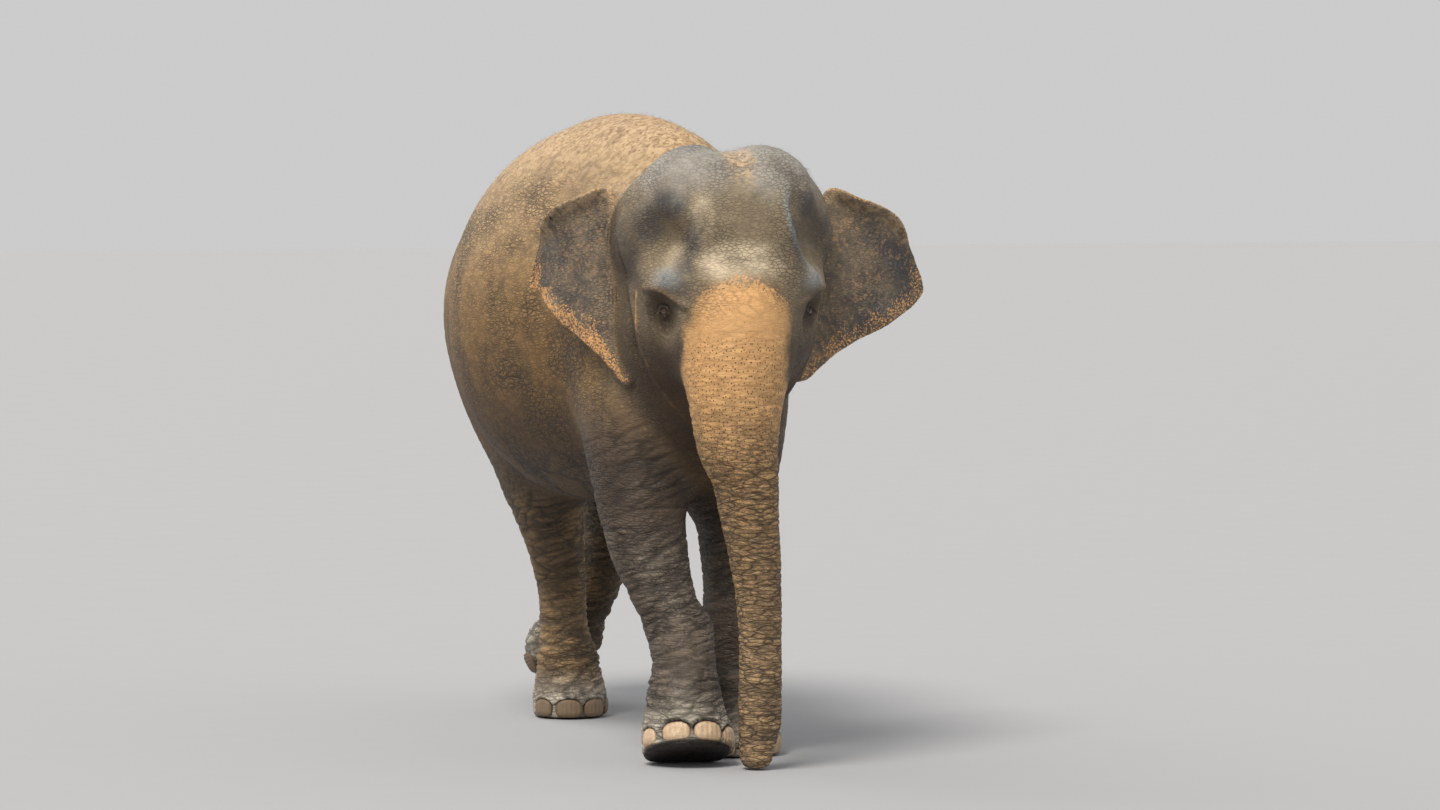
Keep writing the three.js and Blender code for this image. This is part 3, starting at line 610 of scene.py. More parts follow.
def cut_long_edges(points, tris, wanted):
    """Cuts every edge much longer than wanted at its middle, and the triangles beside it."""
    ends = np.sort(tris[:, [0, 1, 1, 2, 2, 0]].reshape(-1, 2), 1)
    codes = ends[:, 0] * len(points) + ends[:, 1]
    _, first, which = np.unique(codes, return_index=True, return_inverse=True)
    a, b = points[ends[first]].transpose(1, 0, 2)
    middle = (a + b) / 2
    long = np.linalg.norm(a - b, axis=1) > 1.4 * wanted(middle)
    number = np.full(len(first), -1)
    number[long] = len(points) + np.arange(long.sum())
    new = number[which.reshape(-1)].reshape(-1, 3)
    code = (new >= 0) @ np.array([1, 2, 4])
    made = [tris[code == 0]]
    for n in range(3):
        t, m = np.roll(tris[code == 1 << n], -n, 1).T, new[code == 1 << n, n]
        made += [columns(t[0], m, t[2]), columns(m, t[1], t[2])]
        two = code == 7 ^ (1 << n)
        t, m = np.roll(tris[two], -n, 1).T, np.roll(new[two], -n, 1).T
        made += [columns(m[1], t[2], m[2]), columns(t[0], t[1], m[1]), columns(t[0], m[1], m[2])]
    t, m = tris[code == 7].T, new[code == 7].T
    made += [columns(t[0], m[0], m[2]), columns(m[0], t[1], m[1]), columns(m[2], m[1], t[2]), columns(*m)]
    return np.vstack([points, middle[long]]), np.vstack(made)


TETRA = np.array([[1, -1, -1], [-1, -1, 1], [-1, 1, -1], [1, 1, 1]], float)


def slope_of(field, p, h=1.2):
    """Value and gradient of a field, from four samples around each point."""
    samples = np.stack([in_parts(field, p + h * corner) for corner in TETRA], 1)
    return samples.mean(1), samples @ TETRA / (4 * h)


def slide(field, p, most, passes=2):
    """Moves points onto the field's zero, by at most most in each pass."""
    for _ in range(passes):
        d, g = slope_of(field, p)
        step = g * (d / np.maximum((g * g).sum(1), 0.2))[:, None]
        size = np.linalg.norm(step, axis=1, keepdims=True)
        p = p - step * np.minimum(1, most / np.maximum(size, 1e-9))
    return p


def relax(points, tris, amount=0.5):
    """Moves each corner towards the middle of its neighbours."""
    a, b = tris[:, [0, 1, 2]].reshape(-1), tris[:, [1, 2, 0]].reshape(-1)
    count = np.bincount(a, minlength=len(points))
    total = np.stack([np.bincount(a, points[b, i], len(points)) for i in range(3)], 1)
    return points + amount * (total / count[:, None] - points)


# %% Growing the skin
def skin_grain(p):
    """The edge length wanted at a place on the skin."""
    x, y, z = p.T
    size = np.full(len(p), 12.0)
    size = np.where(y < -1000, 7.5, size)
    size = np.where(z < 900, 9.0, size)
    size = np.where((z < 150) & (y < -600), 7.0, size)
    size = np.where((y < -1280) & (z < 1500), 7.0, size)
    for place in ear_places.values():
        beside_ear = (np.abs(place.into(p)) < [560, 130, 420]).all(1)
        size = np.where(beside_ear, 7.0, size)
    for place in eye_places.values():
        away = np.linalg.norm(p - place.at, axis=1)
        size = np.minimum(size, 2.6 + 0.055 * np.maximum(away - 34, 0))
    return size


CELL = 26.0
EAR_EXTRA = 13.0  # grows the thin ears at first, so that no coarse cell misses them
points, tris = surface_nets(lambda p: animal(p, EAR_EXTRA), [-720, -1760, -40], [860, 1500, 2500], CELL)
print("coarse skin", len(tris), "triangles", round(time.time() - started, 1), "s")
points = slide(lambda p: animal(p, 6.0), points, 12)
points = slide(lambda p: animal(p, 0.0), relax(points, tris), 9)
for level in range(4):
    points, tris = cut_long_edges(points, tris, skin_grain)
    points = slide(animal, relax(points, tris, 0.35), 4, passes=1)
points = slide(animal, points, 2, passes=1)
print("fine skin", len(tris), "triangles", round(time.time() - started, 1), "s")

# %% [markdown]
# ## Wrinkles as real shapes
#
# Old skin lies in pads with creases between them. A net of such pads comes from cell noise: points
# are scattered, and a crease runs wherever two of them are equally near. Stretching the cells makes
# the rings of the trunk and the long slanting creases of the legs. These nets move the skin itself
# in and out by a few millimetres. The finest net is left to the material.

# %% Noise that is the same in every run
def scrambled(x, y, z, salt):
    """A number from 0 to 1 for each whole-number cell."""
    n = x * 374761393 + y * 668265263 + z * 1442695041 + salt * 974634777
    n = (n ^ (n >> 13)) * 1274126177
    n = n ^ (n >> 16)
    return (n & 0xFFFFFF) / 0x1000000


def cloud(p, size, salt=0):
    """Soft noise from -1 to 1 with lumps of about size."""
    q = p / size
    cell = np.floor(q).astype(np.int64)
    t = q - cell
    t = t * t * (3 - 2 * t)
    total = np.zeros(len(q))
    for corner in itertools.product((0, 1), repeat=3):
        weight = np.prod(np.where(corner, t, 1 - t), axis=1)
        total += weight * scrambled(*(cell + corner).T, salt)
    return 2 * total - 1


def stirred(p, size, amount, salt):
    return p + amount * np.stack([cloud(p, size, salt + i) for i in range(3)], 1)


def creases(q, width, salt):
    """1 in the creases of a net whose cells are about 1 wide, 0 on its pads."""
    cell = np.floor(q).astype(np.int64)
    first, second = np.full(len(q), 9.0), np.full(len(q), 9.0)
    for shift in itertools.product((-1, 0, 1), repeat=3):
        c = cell + shift
        seed = c + np.stack([scrambled(*c.T, salt + k) for k in (1, 2, 3)], 1)
        away = np.linalg.norm(seed - q, axis=1)
        second = np.minimum(second, np.maximum(first, away))
        first = np.minimum(first, away)
    return 1 - smoothstep(0, width, second - first)


# %% Which part each point of the skin belongs to
p = points
x, y, z = p.T
view_side = 0.94 * x - 0.34 * y  # across the animal as its pose is best seen
head_at, trunk_at = head_field(p), trunk(p)
q = HEAD.into(p)
ear_coords = {}
for sign, place in ear_places.items():
    local = place.into(p)
    out, up = sign * local[:, 0], local[:, 2]
    rim_share, rim_mm = ear_rim_at(out, up, sign)
    leaf = ear_field(sign)(p)
    on = (1 - smoothstep(3, 14, leaf)) * (leaf < 60)
    ear_coords[sign] = (out, up, -local[:, 1], rim_share, -rim_mm, on)
on_ear = np.maximum(ear_coords[-1][5], ear_coords[1][5])
on_trunk = (1 - smoothstep(6, 40, trunk_at)) * (1 - smoothstep(1560, 1790, z)) * (1 - on_ear)
on_head = (1 - smoothstep(15, 80, head_at)) * (1 - on_trunk) * (1 - on_ear)
leg_at = np.minimum.reduce([field(p) for field in leg_fields.values()])
leg_top = np.where(y < -300, 260.0, 0.0)
on_leg = (1 - smoothstep(10, 80, leg_at)) * (1 - smoothstep(820 + leg_top, 1250 + leg_top, z))
on_leg = on_leg * (1 - on_trunk)
on_tail = (1 - smoothstep(4, 25, tail(p))) * (1 - smoothstep(1500, 1700, z))
on_body = np.clip(1 - on_ear - on_trunk - on_head - on_leg - on_tail, 0, 1)

# %% Relief of trunk, legs and body
height = np.zeros(len(p))
crease = np.zeros(len(p))
trunk_middle = trunk_line(z)


def press(where, depth, groove):
    """Sinks grooves into the skin by depth in mm, weighted by where."""
    global height, crease
    height = height - where * depth * groove
    crease = np.maximum(crease, where * groove * min(1.0, depth / 3))


trunk_depth = on_trunk * (0.42 + 0.58 * (1 - smoothstep(1000, 1650, z)))
press(trunk_depth, 2.4, creases(stirred(p, 60, 6, 11) / [84, 84, 19], 0.36, 1))
press(trunk_depth, 2.2, creases(stirred(p, 130, 12, 17) / [320, 320, 50], 0.14, 5))
slant = np.stack([x, y, z - 0.30 * view_side], 1)
patchy = smoothstep(-0.5, 0.5, cloud(p, 240, 23))
press(on_leg, 4.2, creases(stirred(slant, 90, 14, 31) / [170, 170, 27], 0.30, 7) * (0.5 + 0.5 * patchy))
press(on_leg, 4.6, creases(stirred(slant, 150, 26, 37) / [330, 330, 66], 0.12, 9))
ankle = on_leg * smoothstep(150, 240, z) * (1 - smoothstep(330, 520, z))
press(ankle, 5.0, creases(stirred(p, 120, 16, 41) / [260, 260, 36], 0.34, 13))
loose = smoothstep(1250, 950, z) + smoothstep(-0.2, 0.5, cloud(p, 320, 43)) * 0.5
diagonal = Place([0, 0, 0], roll=32).into(p)
press(on_body, 1.1, creases(stirred(diagonal, 80, 14, 47) / [70, 70, 30], 0.34, 15))
press(on_body * np.clip(loose, 0, 1), 3.4, creases(stirred(p, 200, 50, 53) / [420, 300, 95], 0.18, 19))
press(on_tail, 1.6, creases(stirred(p, 40, 5, 59) / [50, 50, 17], 0.4, 21))
print("trunk, legs and body", round(time.time() - started, 1), "s")

# %% Distances to lines, and profiles across them
def line_distance(q, line):
    """Distance to a line through points."""
    line = np.array(line, float)
    best = np.full(len(q), 1e9)
    for a, b in zip(line[:-1], line[1:]):
        t = np.clip(((q - a) @ (b - a)) / ((b - a) @ (b - a)), 0, 1)
        best = np.minimum(best, np.linalg.norm(q - a - t[:, None] * (b - a), axis=1))
    return best


def ridge_and_side(q, line, aside):
    """Distances to a ridge and to the hollow that runs beside it."""
    return line_distance(q, line), line_distance(q, np.array(line) + aside)


def bell(v, width):
    return np.exp(-((v / width) ** 2))


def ripples(v, length):
    """Narrow grooves from 0 to 1, one in each length."""
    return (0.5 - 0.5 * np.cos(v / length * 2 * math.pi)) ** 3


# %% Ridges and folds of the head, as lines in its frame
TEMPLE_EDGE = [
    [286, -222, 139], [248, -222, 188], [195, -268, 258], [168, -282, 331], [155, -268, 405],
    [165, -222, 470],
]
MOUTH = [[215, -20, -165], [175, -150, -235], [110, -260, -325], [60, -300, -400]]
CHEEK_FOLD = [[292, -120, -60], [284, -146, -121], [250, -215, -175], [205, -250, -215]]
EAR_GAP = [[404, 141, 338], [404, 75, 256], [386, 61, 152], [370, 70, 29], [360, 50, -80], [345, 42, -170]]
JAW_EDGE = [
    [350, -14, 37], [346, -2, -39], [332, -11, -132], [309, -26, -193], [272, -20, -270],
    [219, -4, -345], [160, 2, -407],
]
HOOD = [[340, -110, 90], [320, -165, 92], [296, -214, 84], [260, -248, 61], [225, -286, 36]]

# %% Relief of the head
streaky = Place([0, 0, 0], roll=14).into(q)
press(on_head, 0.8, creases(stirred(streaky, 60, 10, 61) / [70, 70, 22], 0.34, 23) * patchy)
height += on_head * (3.0 * cloud(q, 90, 67) + 1.4 * cloud(q, 34, 68))
wobble = 9 * cloud(p, 70, 69)
for sign in (-1, 1):
    side = sign * q[:, 0]
    half = np.stack([side, q[:, 1], q[:, 2]], 1)
    edge, beside = ridge_and_side(half, TEMPLE_EDGE, [58, 30, 0])
    height += on_head * (7 * bell(edge, 24) + 4 * bell(edge, 9) - 13 * bell(beside, 40))
    fold = line_distance(half, CHEEK_FOLD)
    press(on_head, 2.4, bell(fold + wobble, 9) * patchy)
    press(on_head, 1.8, bell(fold - 34 + wobble, 8) * patchy)
    edge, beside = ridge_and_side(half, JAW_EDGE, [8, 42, -14])
    height += on_head * (6 * bell(edge, 16) - 12 * bell(beside, 26))
    edge, beside = ridge_and_side(half, HOOD, [0, 0, -26])
    height += on_head * (7 * bell(edge, 13) - 8 * bell(beside, 15))
    if sign < 0:
        press(1 - on_ear, 16.0, bell(line_distance(half, EAR_GAP), 8))
    mouth = line_distance(half, MOUTH)
    press(1 - on_ear, 15.0, bell(mouth, 11) * (q[:, 1] < 20))
    height += (1 - on_ear) * 7 * bell(mouth - 30, 16) * (q[:, 1] < 20)
    eye_x, eye_y, eye_z = eye_places[sign].into(p).T
    stretch = np.where(eye_z < -14, 0.66, 0.9)
    ring = np.hypot(eye_x * (1 + 0.12 * np.sign(eye_x)), (eye_z + 14) * stretch)
    round_eye = smoothstep(32, 44, ring) * (1 - smoothstep(70, 118, ring)) * (np.abs(eye_y) < 80)
    round_eye = on_head * round_eye * (0.2 + 0.8 * (eye_z < 5)) * smoothstep(-0.5, 0.4, cloud(p, 45, 72))
    press(round_eye, 2.6, ripples(ring + 9 * cloud(p, 40, 71), 13.5))
    lid_fold = bell(np.hypot(eye_x, eye_z * 1.15) - 34, 5.0) * smoothstep(-6, 14, eye_z)
    press(on_head * (np.abs(eye_y) < 60), 4.0, lid_fold)
    out, up, front = ear_coords[sign][:3]
    root = smoothstep(-70, -30, out) * (1 - smoothstep(40, 85, out)) * smoothstep(-260, -160, up)
    root = root * (1 - smoothstep(220, 330, up)) * (front > -30) * smoothstep(-0.6, 0.2, cloud(p, 80, 74))
    press(root, 3.2, ripples(out + 18 * cloud(p, 90, 73) + 0.10 * up, 20))

# %% Relief of the ears
vein = creases(stirred(p, 90, 26, 83) / 130, 0.10, 25)
height += on_ear * (1.4 * cloud(p, 70, 89) + 1.1 * vein)
press(on_ear, 0.9, creases(stirred(p, 50, 8, 97) / 30, 0.3, 27))
print("head and ears", round(time.time() - started, 1), "s")

# %% [markdown]
# ## Toes and nails
#
# Each nail is a domed shield of horn let into the foot. The skin sinks a little under it and rises
# round it as a cuticle. The nails are pieces of their own, because horn looks unlike skin.

# %% Nail sizes and the skin round them
NAIL_THICK = 16.0
NAIL_DOME = 8.0
NAIL_LIFT = 8.0
NAIL_PROUD = 3.0


def nail_shape(leg, angle):
    """Half its angle in radians, half its height and the height of its middle."""
    size = 1 - 0.075 * (angle / leg["step"]) ** 2
    half_angle = leg["nail_width"] * size / 2 / leg["radius"]
    return half_angle, NAIL_HEIGHT * (0.7 + 0.3 * size) / 2, NAIL_HEIGHT / 2 + NAIL_LIFT


sole_dirt = np.zeros(len(p))
toe_tone = np.zeros(len(p))
for leg in LEGS.values():
    fx, fy, fz = leg["sole"].into(p).T
    near_foot = (np.hypot(fx, fy) < leg["radius"] * 1.4) & (fz < 260)
    sole_dirt = np.maximum(sole_dirt, near_foot * (1 - smoothstep(3, 16, fz)))
    toe_tone = np.maximum(toe_tone, near_foot * (1 - smoothstep(60, 230, fz)))
    around = np.arctan2(fx, -fy)
    for angle in toe_angles(leg):
        half_angle, half_height, middle = nail_shape(leg, angle)
        ring = np.hypot((around - math.radians(angle)) / half_angle, (fz - middle) / half_height)
        cuticle = bell(ring - 1.24, 0.12) * smoothstep(25, 60, fz)
        bed = 1 - smoothstep(1.02, 1.14, ring)
        over = np.hypot(fx, fy) - leg["radius"] * np.hypot(np.sin(around), 1.02 * np.cos(around)) + 6
        height += near_foot * (4.5 * cuticle - bed * np.maximum(over, 0))
        crease = np.maximum(crease, near_foot * bell(ring - 1.04, 0.07))

# %% Moving the skin by its relief
smooth_points = points


def corner_normals(points, tris):
    a, b, c = points[tris].transpose(1, 0, 2)
    face = np.cross(b - a, c - a)
    shares = [np.bincount(tris.reshape(-1), np.repeat(face[:, i], 3), len(points)) for i in range(3)]
    total = np.stack(shares, 1)
    return total / np.maximum(np.linalg.norm(total, axis=1, keepdims=True), 1e-9)


normals = corner_normals(points, tris)
on_floor = z < 0.6
height = np.where(on_floor, 0, height * smoothstep(0, 25, z))
points = points + normals * height[:, None]
points[:, 2] = np.maximum(points[:, 2], 0)
print("relief from", round(height.min(), 1), "to", round(height.max(), 1), "mm")

# %% [markdown]
# ## Markings
#
# Elephants are grey, but few look it: they throw soil on their backs, and with age the skin loses
# its pigment on the trunk, brow and ear rims. Each marking is a mask from 0 to 1 at every corner of
# the mesh. Some masks are painted light instead: shade under the body and head, shadow behind the
# ears and under the jaw, and highlights on the brows. The material mixes its colours by these masks,
# and makes the small freckles itself.

# %% Masks of the markings
def blot(q, centre, radii):
    """A soft round patch in the head's frame."""
    away = np.sqrt((((q - centre) / radii) ** 2).sum(1))
    return 1 - smoothstep(0.35, 1.1, away)


# %% Bare skin of the trunk and face
masks = {}
ragged = 14 * cloud(p, 22, 101) + 16 * cloud(p, 60, 102)
hx, hy, hz = q.T
arch = 120 - 85 * (np.abs(hx + 35) / 190) ** 2.2
in_front = smoothstep(60, -40, y - (-1500 + 0.10 * (z - 1200)))
below_arch = smoothstep(-16, 16, arch - hz + ragged)
face_patch = below_arch * smoothstep(34, 12, trunk_at + 0.4 * ragged)
face_patch = np.maximum(face_patch, blot(q, [-20, -330, 40], [185, 200, 115]) * below_arch)
fade = smoothstep(820, 1560, z + 90 * cloud(p, 260, 103))
masks["bare"] = face_patch * in_front * (0.05 + 0.95 * fade**1.3)
above_arch = smoothstep(35 + 60 * bell(hx + 20, 90), 0, hz - arch) * smoothstep(-40, 10, hz - arch)
masks["freckle_face"] = smoothstep(205, 150, np.abs(hx)) * above_arch * (hy < -100) * (on_head > 0.2)
broken = smoothstep(-0.5, 0.1, cloud(p, 22, 105))
STREAK = [[352, -16, 62], [350, -8, 0], [346, -4, -72]]  # before the ear's root
for sign in (-1, 1):
    half = q * [sign, 1, 1]
    brow_rim = bell(line_distance(half, HOOD[:4]) + 4 * cloud(p, 20, 106), 8) * broken
    streak = bell(line_distance(half, STREAK) + 5 * cloud(p, 30, 110), 9)
    jaw_rim = bell(line_distance(half, JAW_EDGE) + 4 * cloud(p, 40, 114), 6) * broken
    for worn in (0.8 * brow_rim, (0.9 if sign < 0 else 0.4) * streak, 0.6 * jaw_rim):
        masks["bare"] = np.maximum(masks["bare"], on_head * worn)
print("bare at", round(100 * (masks["bare"] > 0.5).mean(), 1), "% of the corners")

# %% Bare rims and dark bands of the ears
ear_bare, ear_slate, ear_rim_light = np.zeros((3, len(p)))
for sign, (out, up, _, rim_share, inside, on) in ear_coords.items():
    low = smoothstep(150, -60, up) * 0.7 + 0.3 * smoothstep(330, 480, out)
    tip = smoothstep(-190, -330, up)
    width = 52 + 96 * low + 90 * tip
    margin = smoothstep(1.15, 0.25, (inside + 22 * cloud(p, 60, 107) + 12 * cloud(p, 24, 108)) / width)
    margin = margin * np.clip(0.25 + low + tip, 0, 1) * (1.0 if sign < 0 else 0.8)
    ear_bare = np.maximum(ear_bare, on * margin)
    ear_bare = np.maximum(ear_bare, on * bell(inside, 20) * smoothstep(60, 180, up) * 0.8)
    band = np.exp(-(((inside - 75) / 75) ** 2)) * smoothstep(150, 320, out + 0.5 * np.maximum(-up, 0))
    band = band * smoothstep(230, 110, up)
    ear_slate = np.maximum(ear_slate, on * band * (0.95 if sign > 0 else 0.55))
    # painted light on the folded upper rim of each ear
    ear_rim_light = np.maximum(ear_rim_light, on * smoothstep(0.82, 0.90, rim_share) * smoothstep(110, 190, up))
masks["ear_bare"] = ear_bare

# %% Slate, pale and dark patches of the head, partly painted shade and highlight
slate = np.zeros(len(p))
# slate-grey skin, deepened as painted shade in the temple hollows
for side, strength in ((-1, 1.0), (1, 0.8)):
    for amount, centre, radii in (
        (1.0, [255, -170, 400], [95, 130, 75]), (0.9, [340, -80, 325], [100, 130, 110]),
        (0.75, [385, 10, 200], [75, 110, 170]), (0.8, [195, -265, 290], [44, 110, 95]),
        (0.6, [222, -255, 190], [50, 100, 62]), (0.65, [232, -230, 100], [95, 110, 60]),
        (0.6, [150, 60, 590], [120, 170, 80]),
    ):
        slate = np.maximum(slate, strength * amount * blot(q, np.array(centre) * [side, 1, 1], radii))
slate = slate * on_head * np.clip(0.8 + 0.35 * cloud(stirred(q, 60, 20, 109) / [1, 1, 2.5], 40, 115), 0, 1)
masks["slate"] = np.clip(np.maximum(slate, ear_slate), 0, 1)
cream = blot(q, [-25, -335, 195], [205, 130, 95])
# the two weaker blots are painted highlight, on the right temple ridge and above the right brow
for centre, radii in (([-165, -275, 365], [60, 110, 110]), ([-262, -215, 215], [62, 90, 70])):
    cream = np.maximum(cream, 0.45 * blot(q, centre, radii))
masks["cream"] = np.clip(cream * (0.85 + 0.5 * cloud(q, 50, 116)), 0, 1) * on_head
masks["dome"] = on_head * smoothstep(380, 560, hz + 40 * cloud(p, 120, 111))
# painted highlight: blue-grey on both brows, and along the temple ridge on the left
brow_highlight = 0.9 * bell(line_distance(q, TEMPLE_EDGE), 13)  # the ridge is light on the left only
# painted shade over darker brown skin: the lower head darkens towards the jaw, and round each eye socket
cheek_dark = smoothstep(30, -150, hz + 40 * cloud(p, 130, 112)) * (1 - face_patch)
for sign in (-1, 1):
    brow_highlight = np.maximum(brow_highlight, blot(q, [sign * 250, -190, 128], [95, 110, 62]))
    cheek_dark = np.maximum(cheek_dark, blot(q, [sign * 286, -180, -12], [84, 120, 112]))
masks["brow"] = on_head * brow_highlight
masks["cheek"] = on_head * cheek_dark
masks["lid"] = np.zeros(len(p))
for place in eye_places.values():
    masks["lid"] = np.maximum(masks["lid"], 1 - smoothstep(26, 46, np.linalg.norm(p - place.at, axis=1)))
# painted shadow on the head behind the ear roots, and on the neck under the jaw
shadow_behind_ears = smoothstep(40, 85, hy) * smoothstep(430, 300, hz)
shadow_under_jaw = smoothstep(0, 40, hy) * smoothstep(-60, -130, hz) * smoothstep(350, 310, np.abs(hx))
shadow_under_jaw = shadow_under_jaw * smoothstep(1050, 1250, z) * smoothstep(-980, -1180, y)
masks["behind"] = (1 - on_ear) * np.maximum(on_head * shadow_behind_ears, shadow_under_jaw)

# %% Soil on the back, and painted shade on the undersides
flat_normals = corner_normals(smooth_points, tris)
upward = flat_normals[:, 2]
soil_and_rim_light = smoothstep(0.25, 0.95, upward) * smoothstep(1950, 2260, z + 120 * cloud(p, 240, 113)) * (y > -1000)
in_cleft = blot(q, [8, -90, 540], [80, 240, 150])
# soil on the back and in the cleft; on the ears' upper rims the same tan is painted light
masks["soil_and_rim_light"] = np.clip(np.maximum(soil_and_rim_light, in_cleft), 0, 1) * (1 - on_ear) + 0.6 * ear_rim_light
# dust and painted light from above: the body paler towards its top and where it faces up
masks["pale"] = on_body * smoothstep(1350, 2050, z + 90 * cloud(p, 300, 127)) * smoothstep(-0.35, 0.5, upward)
# painted shade: skin that faces down, the forelegs under the body, and the breast under the head
leg_in_shade = np.maximum(smoothstep(700, 1000, z), 0.8 * smoothstep(-60, 40, x) * smoothstep(150, 320, z))
masks["dark"] = np.maximum(smoothstep(0.25, -0.75, upward) * (z > 150), on_leg * (y < -300) * leg_in_shade)
breast_shade = smoothstep(-600, -760, y) * smoothstep(1480, 1280, z) * smoothstep(-350, -230, x)
masks["dark"] = np.maximum(masks["dark"], breast_shade * (1 - on_head) * (1 - on_leg))
masks["dark"] = masks["dark"] * (1 - on_trunk) * (1 - 0.85 * on_ear)
masks["warm"] = on_leg * smoothstep(200, 500, y)
neck = 1 - smoothstep(15, 240, head_at + 40 * cloud(p, 110, 131))
masks["head"] = np.maximum(on_head, neck * on_body)

# %% Where each net of creases lies, and how it runs round the trunk
around = np.abs(np.arctan2(x - trunk_middle[0], trunk_middle[1] - y)) * trunk_middle[2]
masks["around"] = np.where(trunk_at < 60, around, 0)
masks["along"] = z
masks["ear"] = on_ear
masks["trunk"] = on_trunk
masks["low_trunk"] = on_trunk * smoothstep(1050, 350, z)
masks["leg"] = on_leg
masks["foot"] = toe_tone * on_leg
masks["sole"] = sole_dirt
masks["crease"] = crease
print("masks", len(masks), round(time.time() - started, 1), "s")

# %% [markdown]
# ## Unwrapping the skin
#
# A map that is saved with the model needs every triangle to have its own place on a flat sheet. The
# skin is split into parts, and each part is laid flat from the six sides of a box, by the way its
# triangles face. These charts are then put side by side in rows. Hairs use the same sheet, at their
# roots, so that they take the colour of the skin that they grow from.

# %% Charts
PART_NAMES = ["body", "head", "trunk", "ear right", "ear left"] + list(LEGS)
corner_part = np.zeros(len(p), int)
corner_part[on_head > 0.5] = 1
corner_part[(on_trunk > 0.5) | ((trunk_at < 30) & (z < 1500))] = 2
leg_each = np.stack([field(p) for field in leg_fields.values()], 1)
near_leg = (on_leg > 0.4) & (corner_part != 2)
corner_part[near_leg] = 5 + leg_each.argmin(1)[near_leg]
for number, sign in ((3, -1), (4, 1)):
    corner_part[ear_coords[sign][5] > 0.5] = number


def chart_frames():
    """The frame that each part is laid flat in."""
    frames = {number: np.eye(3) for number in range(len(PART_NAMES))}
    frames[1] = HEAD.turn
    frames[3], frames[4] = ear_places[-1].turn, ear_places[1].turn
    return frames


def lay_flat(points, tris):
    """Places of the three corners of each triangle on the sheet, from 0 to 1."""
    part = np.median(corner_part[tris], axis=1).astype(int)
    a, b, c = points[tris].transpose(1, 0, 2)
    face = np.cross(b - a, c - a)
    flat = np.zeros((len(tris), 3, 2))
    charts = []
    for number, turn in chart_frames().items():
        facing = face @ turn
        axis = np.abs(facing).argmax(1)
        if number in (3, 4):
            axis = np.full(len(tris), 1)
        way = np.take_along_axis(facing, axis[:, None], 1)[:, 0] > 0
        for k, positive in itertools.product(range(3), (False, True)):
            chosen = np.flatnonzero((part == number) & (axis == k) & (way == positive))
            if len(chosen) == 0:
                continue
            across = [i for i in range(3) if i != k]
            spot = (points[tris[chosen]] @ turn)[:, :, across]
            spot = spot - spot.reshape(-1, 2).min(0)
            size = spot.reshape(-1, 2).max(0)
            if size[0] > size[1]:
                spot, size = spot[:, :, ::-1], size[::-1]
            charts.append((size, chosen, spot))
    charts.sort(key=lambda chart: -chart[0][1])
    margin = 14.0
    sheet = math.sqrt(sum((w + margin) * (h + margin) for (w, h), _, _ in charts)) * 1.08
    while True:
        left, top, row = margin, margin, 0.0
        for (w, h), chosen, spot in charts:
            if left + w + margin > sheet:
                left, top, row = margin, top + row + margin, 0.0
            flat[chosen] = spot + [left, top]
            left, row = left + w + margin, max(row, h)
        if top + row + margin <= sheet:
            break
        sheet *= 1.02
    print(len(charts), "charts on a sheet of", round(sheet), "mm")
    return flat / sheet


skin_sheet = lay_flat(smooth_points, tris)

# %% Making mesh pieces
def to_model(p):
    """From the millimetres of the shapes to the metres of the model."""
    return (p + SHIFT) * MM


def piece(name, points, tris, slot, material, replaces=(), sheet=None, corner_masks=None):
    """A mesh piece from arrays, riding on the body."""
    mesh = bpy.data.meshes.new(name)
    mesh.vertices.add(len(points))
    mesh.vertices.foreach_set("co", np.ascontiguousarray(to_model(points), np.float32).ravel())
    mesh.loops.add(3 * len(tris))
    mesh.loops.foreach_set("vertex_index", np.ascontiguousarray(tris, np.int32).ravel())
    mesh.polygons.add(len(tris))
    mesh.polygons.foreach_set("loop_start", np.arange(0, 3 * len(tris), 3, dtype=np.int32))
    mesh.polygons.foreach_set("use_smooth", np.ones(len(tris), bool))
    mesh.update(calc_edges=True)
    if sheet is not None:
        layer = mesh.uv_layers.new(name="OFBake")
        layer.uv.foreach_set("vector", np.ascontiguousarray(sheet, np.float32).ravel())
    for key, value in (corner_masks or {}).items():
        mesh.attributes.new(key, "FLOAT", "POINT").data.foreach_set("value", value.astype(np.float32))
    mesh.materials.append(material)
    obj = bpy.data.objects.new(name, mesh)
    bpy.context.scene.collection.objects.link(obj)
    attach(obj, "root")
    if replaces:
        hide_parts(*replaces)
    print(name, len(tris), "triangles")
    return obj


# %% [markdown]
# ## Materials
#
# A few effects come back in several materials, so each is a node group: a net of creases, round
# spots, ragged freckles, and a dusting of soil. A group gives only masks or colours, and the shader
# itself stays in the material.

# %% Short ways to write nodes
def paint(code):
    """A colour from its usual six-figure code, in the light units that shaders use."""
    parts = [int(code[i:i + 2], 16) / 255 for i in (0, 2, 4)]
    return tuple(v / 12.92 if v < 0.04045 else ((v + 0.055) / 1.055) ** 2.4 for v in parts) + (1.0,)


